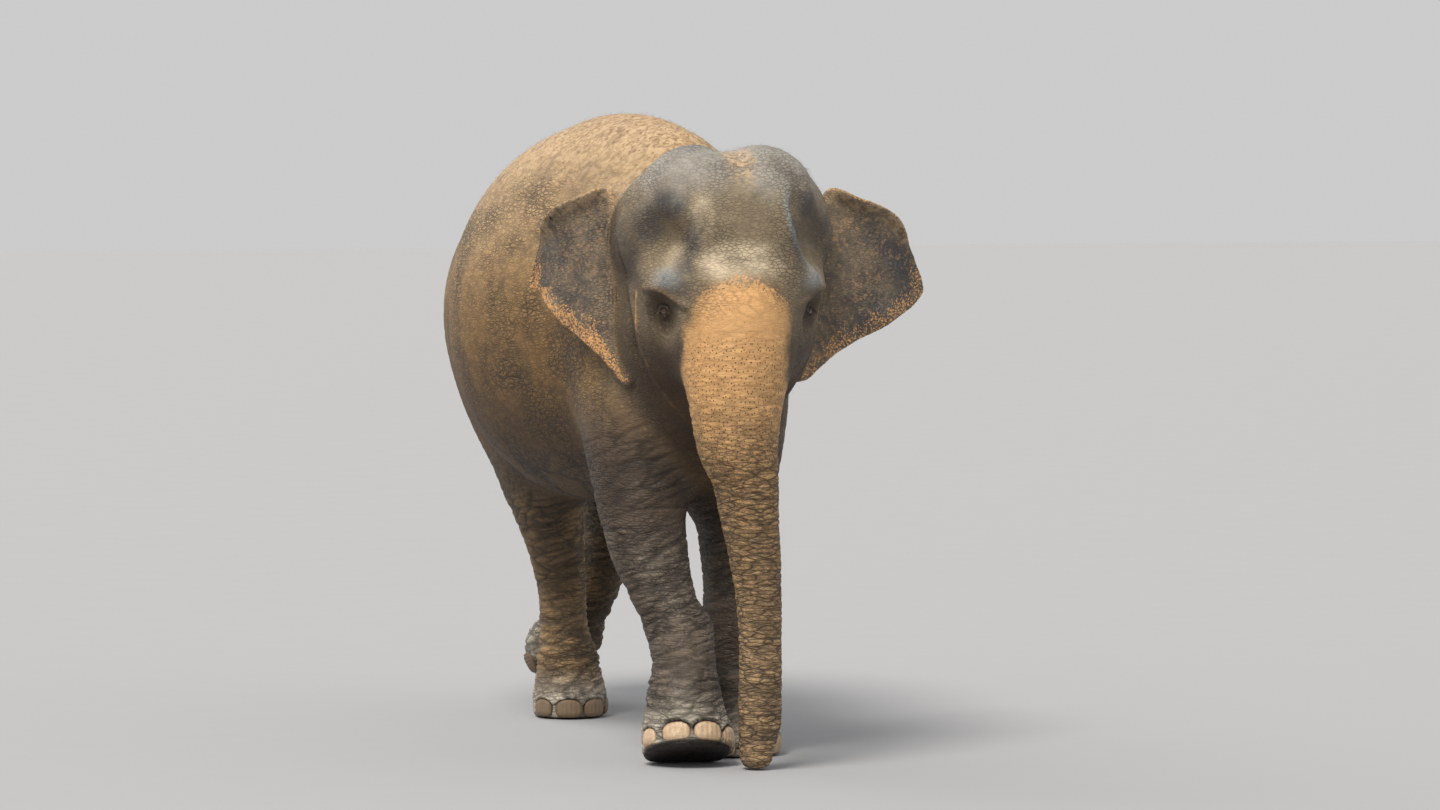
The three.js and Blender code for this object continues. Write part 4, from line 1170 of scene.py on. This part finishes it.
class Nodes:
    """Adds nodes to one tree."""

    def __init__(self, tree):
        self.tree = tree

    def add(self, kind, inputs=None, **settings):
        node = self.tree.nodes.new(kind)
        for key, value in settings.items():
            setattr(node, key, value)
        for key, value in (inputs or {}).items():
            if isinstance(value, bpy.types.NodeSocket):
                self.tree.links.new(value, node.inputs[key])
            else:
                node.inputs[key].default_value = value
        return node

    def math(self, operation, a, b=0.0):
        return self.add("ShaderNodeMath", {0: a, 1: b}, operation=operation, use_clamp=True).outputs[0]

    def times(self, a, b):
        return self.math("MULTIPLY", a, b)

    def mask(self, name):
        return self.add("ShaderNodeAttribute", attribute_name=name).outputs["Fac"]

    def round_trunk(self, wide, high):
        """A flat place on the trunk, in steps of wide mm round it and high mm along it."""
        steps = {}
        for axis, name, step in ((0, "around", wide), (1, "along", high)):
            share = {0: self.mask(name), 1: 1 / step}
            steps[axis] = self.add("ShaderNodeMath", share, operation="MULTIPLY").outputs[0]
        return self.add("ShaderNodeCombineXYZ", steps).outputs[0]

    def place(self, scale=(1, 1, 1), rotation=(0, 0, 0)):
        """Where a point is on the model, turned and stretched."""
        here = self.add("ShaderNodeTexCoord").outputs["Object"]
        turn = [math.radians(angle) for angle in rotation]
        return self.add("ShaderNodeMapping", {"Vector": here, "Rotation": turn, "Scale": scale}).outputs[0]

    def noise(self, vector, scale, detail=2.0):
        inputs = {"Vector": vector, "Scale": scale, "Detail": detail}
        return self.add("ShaderNodeTexNoise", inputs).outputs["Fac"]

    def ramp(self, value, low, high, start=0.0, end=1.0):
        inputs = {"Value": value, "From Min": low, "From Max": high, "To Min": start, "To Max": end}
        return self.add("ShaderNodeMapRange", inputs, interpolation_type="SMOOTHSTEP").outputs[0]

    def mix(self, amount, a, b, blend="MIX"):
        node = self.add("ShaderNodeMix", {0: amount, 6: a, 7: b}, data_type="RGBA", blend_type=blend)
        return node.outputs[2]

    def group(self, tree, **inputs):
        node = self.add("ShaderNodeGroup", node_tree=tree)
        for key, value in inputs.items():
            socket = node.inputs[key.replace("_", " ")]
            if isinstance(value, bpy.types.NodeSocket):
                self.tree.links.new(value, socket)
            else:
                socket.default_value = value
        return node.outputs[0]


def new_group(name, inputs, output, output_kind="NodeSocketFloat"):
    """An empty node group with its named sockets: gives its tools, its inputs and a way to end it."""
    tree = bpy.data.node_groups.new(name, "ShaderNodeTree")
    for key, (kind, value) in inputs.items():
        socket = tree.interface.new_socket(key, in_out="INPUT", socket_type=kind)
        if value is not None:
            socket.default_value = value
    tree.interface.new_socket(output, in_out="OUTPUT", socket_type=output_kind)
    nodes = Nodes(tree)
    start = tree.nodes.new("NodeGroupInput").outputs
    end = tree.nodes.new("NodeGroupOutput").inputs[0]
    return nodes, start, lambda socket: tree.links.new(socket, end)


# %% Effects that materials share
VECTOR, NUMBER, COLOUR = "NodeSocketVector", "NodeSocketFloat", "NodeSocketColor"

nodes, given, give = new_group(
    "Crease net", {"Place": (VECTOR, None), "Width": (NUMBER, 0.2), "Randomness": (NUMBER, 1.0)}, "Crease")
stir_inputs = {"Vector": given["Place"], "Scale": 0.6, "Detail": 1.0}
stir = nodes.add("ShaderNodeTexNoise", stir_inputs).outputs["Color"]
bent = nodes.add("ShaderNodeVectorMath", {0: stir, 1: (0.9, 0.9, 0.9)}, operation="MULTIPLY").outputs[0]
bent = nodes.add("ShaderNodeVectorMath", {0: given["Place"], 1: bent}, operation="ADD").outputs[0]
net_inputs = {"Vector": bent, "Scale": 1.0, "Randomness": given["Randomness"]}
cells = nodes.add("ShaderNodeTexVoronoi", net_inputs, feature="DISTANCE_TO_EDGE")
give(nodes.ramp(cells.outputs["Distance"], 0.0, given["Width"], 1.0, 0.0))
crease_net = nodes.tree

nodes, given, give = new_group("Round spots", {"Place": (VECTOR, None), "Radius": (NUMBER, 0.2)}, "Spot")
spot_inputs = {"Vector": given["Place"], "Scale": 1.0, "Randomness": 0.75}
cells = nodes.add("ShaderNodeTexVoronoi", spot_inputs, voronoi_dimensions="2D")
edge = nodes.math("MULTIPLY", given["Radius"], 1.5)
give(nodes.ramp(cells.outputs["Distance"], given["Radius"], edge, 1.0, 0.0))
round_spots = nodes.tree

nodes, given, give = new_group("Freckles", {"Place": (VECTOR, None), "Amount": (NUMBER, 0.5)}, "Freckle")
grain = nodes.noise(given["Place"], 1.0, 3.0)
level = nodes.ramp(given["Amount"], 0.0, 1.0, 0.72, 0.28)
above = nodes.add("ShaderNodeMath", {0: grain, 1: level}, operation="SUBTRACT").outputs[0]
give(nodes.ramp(above, -0.02, 0.03))
freckles = nodes.tree

nodes, given, give = new_group(
    "Soil", {"Colour": (COLOUR, None), "Soil colour": (COLOUR, paint("A98763")), "Amount": (NUMBER, 0.3)},
    "Colour", COLOUR)
crumbs = nodes.noise(nodes.place(), 34.0, 5.0)
film = nodes.noise(nodes.place(), 9.0, 4.0)
cover = nodes.math("ADD", nodes.ramp(crumbs, 0.42, 0.62), nodes.times(film, 0.4))
give(nodes.mix(nodes.times(cover, given["Amount"]), given["Colour"], given["Soil colour"]))
soil_group = nodes.tree


def new_material(name):
    material = bpy.data.materials.new(name)
    material.use_nodes = True
    material.node_tree.nodes.clear()
    nodes = Nodes(material.node_tree)
    return material, nodes


def finish(nodes, colour, roughness, height=None, depth=0.002, **values):
    """Ends a material: one Principled shader, with a bump if a height is given."""
    inputs = {"Base Color": colour, "Roughness": roughness}
    for key, value in values.items():
        inputs[key.replace("_", " ")] = value
    if height is not None:
        bump = nodes.add("ShaderNodeBump", {"Height": height, "Distance": depth, "Strength": 1.0})
        inputs["Normal"] = bump.outputs[0]
    shader = nodes.add("ShaderNodeBsdfPrincipled", inputs)
    nodes.add("ShaderNodeOutputMaterial", {"Surface": shader.outputs[0]})


# %% [markdown]
# ## The skin's material
#
# The base is a dull grey-brown that differs from part to part, paler on top of the body from dust
# and painted light from above. Over it come the bare peach skin with its dark pores and freckles,
# the bluish slate of the temples, deepened as painted shade in their hollows, soil on the back, dirt
# and painted shade in the creases, painted shade under the body, head and jaw, painted highlights on
# the brows and the ears' upper rims, and the nearly black sole. Nets of fine creases run the way the
# hide wrinkles on each part: rings on the trunk, slants on the legs, a cross-hatch on the body, a
# small net elsewhere.

# %% Nets of creases in the skin
skin_finish, nodes = new_material("skin")
mask = {name: nodes.mask(name) for name in masks if name not in ("around", "along")}

mottle = nodes.noise(nodes.place(), 7.0, 5.0)
fine = nodes.noise(nodes.place(), 70.0, 4.0)


def net_of(per_metre, turn, width):
    """A net of creases with so many cells per metre along each axis."""
    return nodes.group(crease_net, Place=nodes.place(per_metre, turn), Width=width)


body_net, body_net_2 = net_of((36, 36, 66), (0, 34, 20), 0.20), net_of((17, 17, 52), (0, -30, 20), 0.11)
leg_net, leg_net_2 = net_of((15, 15, 62), (0, 16, 0), 0.20), net_of((48, 48, 95), (0, 16, 0), 0.16)
trunk_net_2, head_net = net_of((60, 60, 90), (0, 0, 0), 0.16), net_of((44, 44, 90), (0, 14, 0), 0.16)
trunk_net = nodes.group(crease_net, Place=nodes.round_trunk(64, 15), Width=0.17, Randomness=1.0)

patchy_net = nodes.ramp(nodes.noise(nodes.place(), 5.0, 3.0), 0.35, 0.65, 0.35, 1.0)
rest = nodes.math("SUBTRACT", 1.0, nodes.math("ADD", mask["leg"], mask["trunk"]))
rest = nodes.math("SUBTRACT", rest, nodes.math("ADD", mask["head"], mask["ear"]))
rest = nodes.times(rest, nodes.ramp(mask["soil_and_rim_light"], 0.0, 0.8, 1.0, 0.25))
net = nodes.times(rest, nodes.math("MAXIMUM", nodes.times(body_net, 0.9), nodes.times(body_net_2, 1.0)))
on_legs = nodes.math("MAXIMUM", leg_net, nodes.times(leg_net_2, 0.7))
net = nodes.math("ADD", net, nodes.times(mask["leg"], on_legs))
soft = nodes.times(nodes.math("ADD", mask["head"], mask["ear"]), 0.64)
net = nodes.times(nodes.math("ADD", net, nodes.times(soft, head_net)), patchy_net)
rings = nodes.math("MAXIMUM", trunk_net, nodes.times(trunk_net_2, 0.5))
faded = nodes.ramp(mask["bare"], 0.1, 0.9, 1.0, 0.24)
net = nodes.math("ADD", net, nodes.times(nodes.times(mask["trunk"], rings), faded))

# %% Colours of the skin from part to part
colour = paint("95713F")
# among these tones, the cheek and jaw tone, the tone behind the ears and under the jaw, and part of the slate
# are painted shade; the brows and part of the cream are painted highlight; the paler top of the body is dust
# and painted light from above
for name, share, tone in (
    ("pale", 1, "AC8E66"), ("head", 1, "807159"), ("ear", 1, "7A6B59"), ("leg", 1, "72665A"),
    ("warm", 0.8, "B08C5A"), ("foot", 1, "CFC6B6"), ("trunk", 1, "B28D5E"), ("low_trunk", 1, "BE9C72"),
    ("cheek", 1, "3E2E1A"), ("dome", 0.8, "999690"), ("cream", 0.95, "E6D2B2"), ("behind", 0.8, "4A3C2C"),
    ("slate", nodes.ramp(mottle, 0.30, 0.60, 0.6, 1.0), "35404A"), ("brow", 0.65, "8F9AA2"),
    ("lid", 1, "33281F"),
):
    amount = mask[name] if share == 1 else nodes.times(mask[name], share)
    colour = nodes.mix(amount, colour, paint(tone))
colour = nodes.mix(nodes.ramp(mottle, 0.42, 0.68, 0.0, 0.38), colour, paint("554433"))
colour = nodes.mix(nodes.ramp(fine, 0.5, 0.8, 0.0, 0.30), colour, paint("BBA583"))

# %% Bare skin, freckles and pores
def freckled(per_metre, name, share):
    """Freckles where the mask called name is high."""
    amount = nodes.times(mask[name], share)
    return nodes.group(freckles, Place=nodes.place((per_metre,) * 3), Amount=amount)


bare_noise = nodes.noise(nodes.place(), 40.0, 3.0)
ear_freckle, face_freckle = freckled(125, "ear_bare", 0.56), freckled(110, "freckle_face", 0.55)
ear_flecks, dark_spots = freckled(55, "ear", 0.38), freckled(120, "freckle_face", 0.42)
ear_clouds = nodes.ramp(nodes.noise(nodes.place(), 14.0, 3.0), 0.45, 0.62)
colour = nodes.mix(nodes.times(mask["ear"], nodes.times(ear_clouds, 0.55)), colour, paint("4E4A49"))
colour = nodes.mix(nodes.times(ear_flecks, 0.45), colour, paint("B08B62"))
for spots, name, tone in ((ear_freckle, "ear_bare", "DCA366"), (face_freckle, "freckle_face", "D1A06C")):
    colour = nodes.mix(nodes.times(spots, nodes.ramp(mask[name], 0.0, 0.15)), colour, paint(tone))
colour = nodes.mix(mask["bare"], colour, nodes.mix(bare_noise, paint("C9945A"), paint("DDAF78")))
colour = nodes.mix(nodes.times(dark_spots, mask["bare"]), colour, paint("54453A"))
pores = nodes.group(round_spots, Place=nodes.round_trunk(17, 23), Radius=0.115)
pore_zone = nodes.times(mask["trunk"], nodes.ramp(mask["bare"], 0.05, 0.4, 0.15, 0.9))
pore_zone = nodes.times(pore_zone, nodes.ramp(nodes.mask("along"), 1580.0, 1680.0, 1.0, 0.0))
colour = nodes.mix(nodes.times(pores, pore_zone), colour, paint("4C3424"))

# %% Painted shade, dirt with painted shade in the creases, soil and the bump of the skin
# painted shade on the undersides, then the nets of fine creases and the grooves of the relief darkened as
# dirt and painted shade
for amount, share, tone in (
    (mask["dark"], 0.78, "38230B"), (net, 0.80, "241A11"), (mask["crease"], 0.75, "1C140D"),
):
    colour = nodes.mix(nodes.times(amount, share), colour, paint(tone))
soiled = nodes.times(mask["soil_and_rim_light"], 0.85)
colour = nodes.group(soil_group, Colour=colour, Soil_colour=paint("BCA07C"), Amount=soiled)
clods = freckled(70, "soil_and_rim_light", 0.40)
clod_zone = nodes.ramp(mask["soil_and_rim_light"], 0.1, 0.5, 0.0, 0.75)
colour = nodes.mix(nodes.times(clods, clod_zone), colour, paint("7D5C40"))
colour = nodes.mix(mask["sole"], colour, paint("1E160F"))

rough = nodes.ramp(fine, 0.3, 0.7, 0.58, 0.82)
pads_up = nodes.math("SUBTRACT", 0.75, nodes.times(net, 0.65))
pads_up = nodes.math("ADD", pads_up, nodes.times(nodes.noise(nodes.place(), 220.0, 3.0), 0.10))
pads_up = nodes.math("ADD", pads_up, nodes.times(clods, nodes.times(mask["soil_and_rim_light"], 0.4)))
finish(nodes, colour, rough, pads_up, 0.0042)
print("skin material of", len(nodes.tree.nodes), "nodes")

# %% [markdown]
# ## Growing the skin piece
#
# One skin stands for all nodes of flesh, so that no seam shows between them.

# %% The skin piece
flesh = [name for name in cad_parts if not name.startswith(("eye_", "nail_", "tail_tuft"))]
piece("skin", points, tris, "skin", skin_finish, flesh, skin_sheet, masks)

# %% [markdown]
# ## Eyes
#
# The eyeball is a sphere with a slightly bulging cornea. Its colours go by the angle from the
# direction it looks in: a black pupil, an amber-brown iris and a dark rim, under a wet gloss.

# %% Eyes
BALL_RADIUS = EYE_RADIUS - 0.4
CORNEA_RISE = 1.5


def ring_pairs(rings, spokes):
    """Each corner of all rings but the last, with the next corner on its ring."""
    for i, j in itertools.product(range(rings - 1), range(spokes)):
        yield i * spokes + j, i * spokes + (j + 1) % spokes


def eyeball(place):
    """A ball whose pole looks out between the lids, and each corner's angle from that pole."""
    rings, spokes = 40, 56
    angle = np.linspace(0, math.pi, rings + 1)[1:-1]
    turn = np.arange(spokes) / spokes * 2 * math.pi
    radius = BALL_RADIUS + CORNEA_RISE * (1 - smoothstep(0.35, 0.62, angle))
    a, t = np.meshgrid(angle, turn, indexing="ij")
    r = radius[:, None]
    grid = np.stack([r * np.sin(a) * np.cos(t), -r * np.cos(a), r * np.sin(a) * np.sin(t)], -1)
    poles = [[0, -BALL_RADIUS - CORNEA_RISE, 0], [0, BALL_RADIUS, 0]]
    points = np.vstack([grid.reshape(-1, 3), poles])
    angles = np.degrees(np.concatenate([a.ravel(), [0, math.pi]]))
    tris = []
    for a, b in ring_pairs(rings - 1, spokes):
        tris += [(a, a + spokes, b + spokes), (a, b + spokes, b)]
    top, bottom, last = len(points) - 2, len(points) - 1, (rings - 2) * spokes
    tris += [(top, j, (j + 1) % spokes) for j in range(spokes)]
    tris += [(bottom, last + (j + 1) % spokes, last + j) for j in range(spokes)]
    return place.out(points), np.array(tris), angles


# %% The eye's material and both eyeballs
eye_finish, nodes = new_material("eye")
off_axis = nodes.mask("off_axis")
streaks = nodes.noise(nodes.place((260, 260, 260)), 1.0, 4.0)
iris = nodes.mix(streaks, paint("2E1A0C"), paint("7A4A22"))
colour = nodes.mix(nodes.ramp(off_axis, 11.0, 14.0), paint("050403"), iris)
colour = nodes.mix(nodes.ramp(off_axis, 29.0, 34.0), colour, paint("120C08"))
colour = nodes.mix(nodes.ramp(off_axis, 40.0, 62.0), colour, paint("4A352A"))
finish(nodes, colour, nodes.ramp(streaks, 0.3, 0.7, 0.04, 0.10), None, Coat_Weight=1.0, Coat_Roughness=0.03)
for side, name in ((-1, "eye_right"), (1, "eye_left")):
    ball, ball_tris, angles = eyeball(eye_places[side])
    piece("eyeball" + name[3:], ball, ball_tris, "eye", eye_finish, [name], None, {"off_axis": angles})

# %% [markdown]
# ## Nails
#
# A nail grows from the cuticle down, so it has fine lines along its height, bands across where
# growth was slower, and a worn, rounded lower edge. The front is pale horn with dirt at its rim.

# %% Nails
def nail(leg, angle, rings=14, spokes=48):
    """One nail as a closed shield, with each corner's share of the way to the rim."""
    half_angle, half_height, middle = nail_shape(leg, angle)
    share = np.linspace(0, 1, rings + 1)[1:]
    turn = np.arange(spokes) / spokes * 2 * math.pi
    s, t = np.meshgrid(share, turn, indexing="ij")
    power = np.where(np.sin(t) < 0, 4.5, 2.2)
    square = (np.abs(np.cos(t)) ** power + np.abs(np.sin(t)) ** power) ** (-1 / power)
    across, high = s * square * np.cos(t), s * square * np.sin(t)

    def at(across, high, level, share=0.0):
        around = math.radians(angle) + across * half_angle
        up = middle + high * half_height
        skin_line = leg["radius"] * np.hypot(np.sin(around), 1.02 * np.cos(around)) + 2
        dome = NAIL_PROUD + NAIL_DOME * np.sqrt(1 - share**3) + 0.9 * np.sin(across * 19)
        wear = 3.5 * smoothstep(-0.5, -1.0, high)
        reach = np.where(level > 0, skin_line + dome - wear, skin_line - NAIL_THICK)
        return np.stack([reach * np.sin(around), -reach * np.cos(around), up], -1)

    front = at(across, high, 1, s).reshape(-1, 3)
    back = at(across[-1], high[-1], -1)
    points = np.vstack([front, at(np.zeros(1), np.zeros(1), 1), back, at(np.zeros(1), np.zeros(1), -1)])
    middle_front, first_back, middle_back = len(front), len(front) + 1, len(front) + 1 + spokes
    tris = [(middle_front, (j + 1) % spokes, j) for j in range(spokes)]
    for a, b in ring_pairs(rings, spokes):
        tris += [(a, b, b + spokes), (a, b + spokes, a + spokes)]
    last = (rings - 1) * spokes
    for j in range(spokes):
        a, b, c, d = last + j, last + (j + 1) % spokes, first_back + j, first_back + (j + 1) % spokes
        tris += [(a, b, d), (a, d, c), (c, d, middle_back)]
    rim = np.concatenate([s.ravel(), [0], np.ones(spokes + 1)])
    along = np.concatenate([high.ravel(), [0], high[-1], [0]])
    return leg["sole"].out(points), np.array(tris), rim, along


def joined(parts):
    """Puts meshes together: lists of (points, tris, ...) with any masks after them."""
    counts = np.cumsum([0] + [len(part[0]) for part in parts])
    tris = np.vstack([part[1] + start for part, start in zip(parts, counts)])
    rest = [np.concatenate(column) for column in list(zip(*parts))[2:]]
    return [np.vstack([part[0] for part in parts]), tris] + rest


# %% Nail horn and the piece of all nails
nail_finish, nodes = new_material("nail horn")
growth = nodes.noise(nodes.place((30, 30, 420)), 1.0, 3.0)
lines = nodes.noise(nodes.place((260, 260, 18)), 1.0, 3.0)
colour = nodes.mix(growth, paint("B79C7E"), paint("D9C2A3"))
colour = nodes.mix(nodes.ramp(lines, 0.45, 0.7, 0.0, 0.5), colour, paint("A5886A"))
colour = nodes.mix(nodes.ramp(nodes.mask("rim"), 0.80, 1.0, 0.0, 0.75), colour, paint("7A6148"))
colour = nodes.group(soil_group, Colour=colour, Soil_colour=paint("8A6A4C"), Amount=0.35)
colour = nodes.mix(nodes.mask("dirt"), colour, paint("5C4A37"))
ridges = nodes.math("ADD", nodes.times(lines, 0.5), nodes.times(growth, 0.5))
finish(nodes, colour, nodes.ramp(lines, 0.3, 0.7, 0.42, 0.62), ridges, 0.0016)

NAIL_DIRT = {"foreleg_right": 0.0, "foreleg_left": 0.25, "hindleg_right": 0.80, "hindleg_left": 0.90}
nail_parts = []
for name, leg in LEGS.items():
    for angle in toe_angles(leg):
        made = nail(leg, angle)
        nail_parts.append((*made, np.full(len(made[0]), NAIL_DIRT[name])))
nail_points, nail_tris, nail_rim, nail_along, nail_dirt = joined(nail_parts)
nail_nodes = [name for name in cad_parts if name.startswith("nail_")]
nail_points[:, 2] = np.maximum(nail_points[:, 2], 0)
nail_masks = {"rim": nail_rim, "along": nail_along, "dirt": nail_dirt}
piece("nails", nail_points, nail_tris, "nail", nail_finish, nail_nodes, None, nail_masks)

# %% [markdown]
# ## Hair
#
# Elephants have thin bristles over the head and back, lashes over the eyes and a flat fan of wiry
# hair at the end of the tail. Each hair is a thin three-sided prism that bends and ends in a point.
# Its place on the bake sheet is a tiny patch where its root lies on the skin.

# %% Hairs
rng = np.random.default_rng(7)
HAIR_PATCH = 0.003  # of the sheet's side


def unit(v):
    return v / np.linalg.norm(v, axis=1, keepdims=True)


def hairs(roots, directions, lengths, thickness, sheet_spots, bend, segments=4):
    """Joined prisms from roots along directions (all arrays), with their places on the sheet."""
    count = len(roots)
    side = unit(np.cross(directions, [0.31, 0.2, 0.93]))
    other = np.cross(directions, side)
    steps = np.linspace(0, 1, segments + 1)
    rows = []
    for step in steps[:-1]:
        middle = roots + directions * (lengths * step)[:, None] + bend * (lengths * step**2)[:, None]
        for turn in (0, 120, 240):
            a = math.radians(turn)
            wide = (thickness * (1 - 0.75 * step))[:, None] / 2
            rows.append(middle + wide * (math.cos(a) * side + math.sin(a) * other))
    rows.append(roots + directions * lengths[:, None] + bend * lengths[:, None])
    points = np.stack(rows, 1)
    size = points.shape[1]
    tris = [(0, 2, 1)]
    for a, b in ring_pairs(segments, 3):
        tris += [(a, b, b + 3), (a, b + 3, a + 3)]
    last = 3 * (segments - 1)
    tris += [(last + j, last + (j + 1) % 3, size - 1) for j in range(3)]
    tris = np.array(tris)
    all_tris = (tris[None] + (np.arange(count) * size)[:, None, None]).reshape(-1, 3)
    way = np.stack([np.arange(size) % 3 / 2, np.arange(size) / size], 1) - 0.5
    spots = sheet_spots[:, None, None] + HAIR_PATCH * way[tris][None]
    return points.reshape(-1, 3), all_tris, spots.reshape(-1, 3, 2)


def roots_on_skin(weight, count):
    """Random places on the skin, more of them where the corner weight is high."""
    a, b, c = points[tris].transpose(1, 0, 2)
    area = np.linalg.norm(np.cross(b - a, c - a), axis=1) * weight[tris].mean(1)
    chosen = rng.choice(len(tris), count, p=area / area.sum())
    u, v = rng.random((2, count))
    u, v = np.where(u + v > 1, 1 - u, u), np.where(u + v > 1, 1 - v, v)
    shares = np.stack([1 - u - v, u, v], 1)[:, :, None]
    at = (points[tris[chosen]] * shares).sum(1)
    normal = (normals[tris[chosen]] * shares).sum(1)
    return at, normal, (skin_sheet[chosen] * shares).sum(1)


def combed(normal, down, stand, spread):
    """Directions that stand out by stand and lie along down, each a little different."""
    lie = down - normal * (normal @ down)[:, None]
    return unit(stand * normal + (1 - stand) * lie + spread * rng.normal(size=normal.shape))


# %% Bristles
crown = on_head * smoothstep(180, 420, hz) * (1 - masks["slate"] * 0.4)
crown = crown + 0.25 * on_head * smoothstep(0.1, 0.6, -hz / 400)
spine = on_body * smoothstep(2050, 2300, z) * 0.35
BRISTLES = 3600
at, normal, spot = roots_on_skin(crown + spine, BRISTLES)
way = combed(normal, np.array([0.0, -0.4, -0.9]), 0.55, 0.22)
bend = np.tile([0.0, -0.05, -0.28], (len(at), 1))
bristle = hairs(at - normal, way, rng.uniform(10, 28, len(at)), rng.uniform(0.30, 0.5, len(at)), spot, bend)

hair_finish, nodes = new_material("wiry hair")
shade = nodes.noise(nodes.place(), 60.0, 2.0)
colour = nodes.mix(shade, paint("1F1712"), paint("5A4636"))
colour = nodes.group(soil_group, Colour=colour, Soil_colour=paint("7D6048"), Amount=0.2)
finish(nodes, colour, nodes.ramp(shade, 0.3, 0.7, 0.45, 0.6))


def hair_piece(name, made, replaced=()):
    piece(name, made[0], made[1], "hair", hair_finish, replaced, made[2])


hair_piece("bristles", bristle)

# %% Lashes
LASHES = 46  # on each upper lid
lash_parts = []
for side, place in eye_places.items():
    count = LASHES
    t = np.linspace(-0.92, 0.92, count)
    angle = t * math.asin(SLIT_HALF / SLIT_RADIUS)
    edge_x, edge_z = SLIT_RADIUS * np.sin(angle), SLIT_RADIUS * np.cos(angle) - SLIT_RISE
    edge_y = -np.sqrt(np.maximum((LID_DOME - 1.5) ** 2 - edge_x**2 - edge_z**2, 1))
    roots = place.out(np.stack([edge_x, edge_y, edge_z], 1))
    sideways, down = 0.35 * t + 0.12 * rng.normal(size=count), -0.55 + 0.1 * rng.normal(size=count)
    way = np.stack([sideways, np.full(count, -0.8), down], 1)
    way = unit(way) @ place.turn.T
    nearest = ((points[:, None] - roots[None, ::12]) ** 2).sum(2).argmin(0)[0]
    spot_at = skin_sheet[np.flatnonzero((tris == nearest).any(1))[0]].mean(0)
    bend = np.tile([0.0, 0.0, -0.25], (count, 1))
    size = rng.uniform(16, 30, count)
    lash_parts.append(hairs(roots, way, size, np.full(count, 0.9), np.tile(spot_at, (count, 1)), bend))
hair_piece("lashes", joined(lash_parts))

# %% Tail hair
TAIL_HAIRS = 1500
TUFT_LOW, TUFT_HIGH = 872, 1075  # the roots lie between these heights
tail_at = along(TAIL[:3])
count = TAIL_HAIRS
height_at = rng.uniform(TUFT_LOW, TUFT_HIGH, count)
ring = np.radians(np.where(rng.random(count) < 0.5, 90, -90) + rng.normal(0, 34, count))
mx, my, a, b = tail_at(np.maximum(height_at, 880))
roots = np.stack([mx + np.cos(ring) * (a - 2), my + np.sin(ring) * (b - 2), height_at], 1)
way = np.stack([0.10 * np.cos(ring), 0.30 * np.sin(ring), np.full(count, -1.0)], 1)
way = unit(way + 0.05 * rng.normal(size=way.shape))
bend = np.stack([np.zeros(count), -0.13 * np.sin(ring), np.zeros(count)], 1)
size = rng.uniform(150, 250, count) * (0.85 + 0.15 * np.abs(np.sin(ring)))
_, first_y, first_z = smooth_points[tris[:, 0]].T
clear_of_legs = leg_each.min(1)[tris[:, 0]] > 60
tail_end = np.flatnonzero((first_z < 1100) & (first_y > 1295) & clear_of_legs)
middle = smooth_points[tris[tail_end]].mean(1)
nearest = [((middle - root) ** 2).sum(1).argmin() for root in roots]
spot = skin_sheet[tail_end[nearest]].mean(1)
tail_hair = hairs(roots, way, size, rng.uniform(1.6, 2.6, count), spot, bend, segments=6)
hair_piece("tail_hair", tail_hair, ["tail_tuft"])

# %% [markdown]
# ## Floor, light and camera
#
# The model stands on a plain pale floor under soft broad lights: a key light from the upper left,
# a fill from the right, one from behind, and an even sky. The camera stands 21 metres away, a
# little above eye height, with a long lens and a little to the animal's right of straight ahead.

# %% Floor
floor_finish, nodes = new_material("studio floor")
grain = nodes.noise(nodes.place((3, 3, 3)), 1.0, 3.0)
finish(nodes, nodes.mix(grain, paint("9C9DA0"), paint("9E9FA2")), nodes.ramp(grain, 0.3, 0.7, 0.8, 0.9))
mesh = bpy.data.meshes.new("floor")
mesh.from_pydata([(-60, -60, 0), (60, -60, 0), (60, 90, 0), (-60, 90, 0)], [], [(0, 1, 2, 3)])
mesh.materials.append(floor_finish)
floor = bpy.data.objects.new("floor", mesh)
floor.location.z = -0.0005
bpy.context.scene.collection.objects.link(floor)
floor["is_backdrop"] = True

# %% Light
def broad_light(name, toward, softness, power, tint):
    """Even light over the whole floor, from a soft patch of sky at the direction toward."""
    light = bpy.data.lights.new(name, "SUN")
    light.angle, light.energy, light.color = math.radians(softness), power, tint
    obj = bpy.data.objects.new(name, light)
    obj.rotation_euler = Vector(toward).to_track_quat("Z", "Y").to_euler()
    bpy.context.scene.collection.objects.link(obj)


broad_light("key light", (-0.60, -0.60, 1.25), 22, 3.4, (1.0, 0.95, 0.87))
broad_light("fill light", (0.8, -1.0, 0.35), 60, 0.22, (0.90, 0.95, 1.0))
broad_light("back light", (-0.4, 1.0, 0.7), 50, 0.8, (1.0, 0.97, 0.92))
world = bpy.data.worlds.new("studio")
world.use_nodes = True
world.node_tree.nodes["Background"].inputs["Color"].default_value = (1.0, 1.0, 1.0, 1.0)
world.node_tree.nodes["Background"].inputs["Strength"].default_value = 0.60
bpy.context.scene.world = world
bpy.context.scene.view_settings.view_transform = "Standard"

# %% Camera
EYE_POINT = (-7.3094, -20.6952, 2.370)
TURN, LOOK_DOWN = 20.0, 2.78
PIXELS_TO_FOCUS, FRAME_WIDTH, SENSOR = 5586.0, 1440.0, 36.0

camera = bpy.data.objects.new("camera", bpy.data.cameras.new("camera"))
camera.location = EYE_POINT
camera.rotation_euler = (math.radians(90 - LOOK_DOWN), 0, math.radians(-TURN))
camera.data.sensor_width = SENSOR
camera.data.lens = PIXELS_TO_FOCUS / FRAME_WIDTH * SENSOR
camera.data.clip_end = 200
bpy.context.scene.collection.objects.link(camera)
bpy.context.scene.camera = camera

# %% Sizes and the end
visual_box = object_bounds()
print("visual", [list(map(float, c)) for c in visual_box], round(time.time() - started, 1), "s")
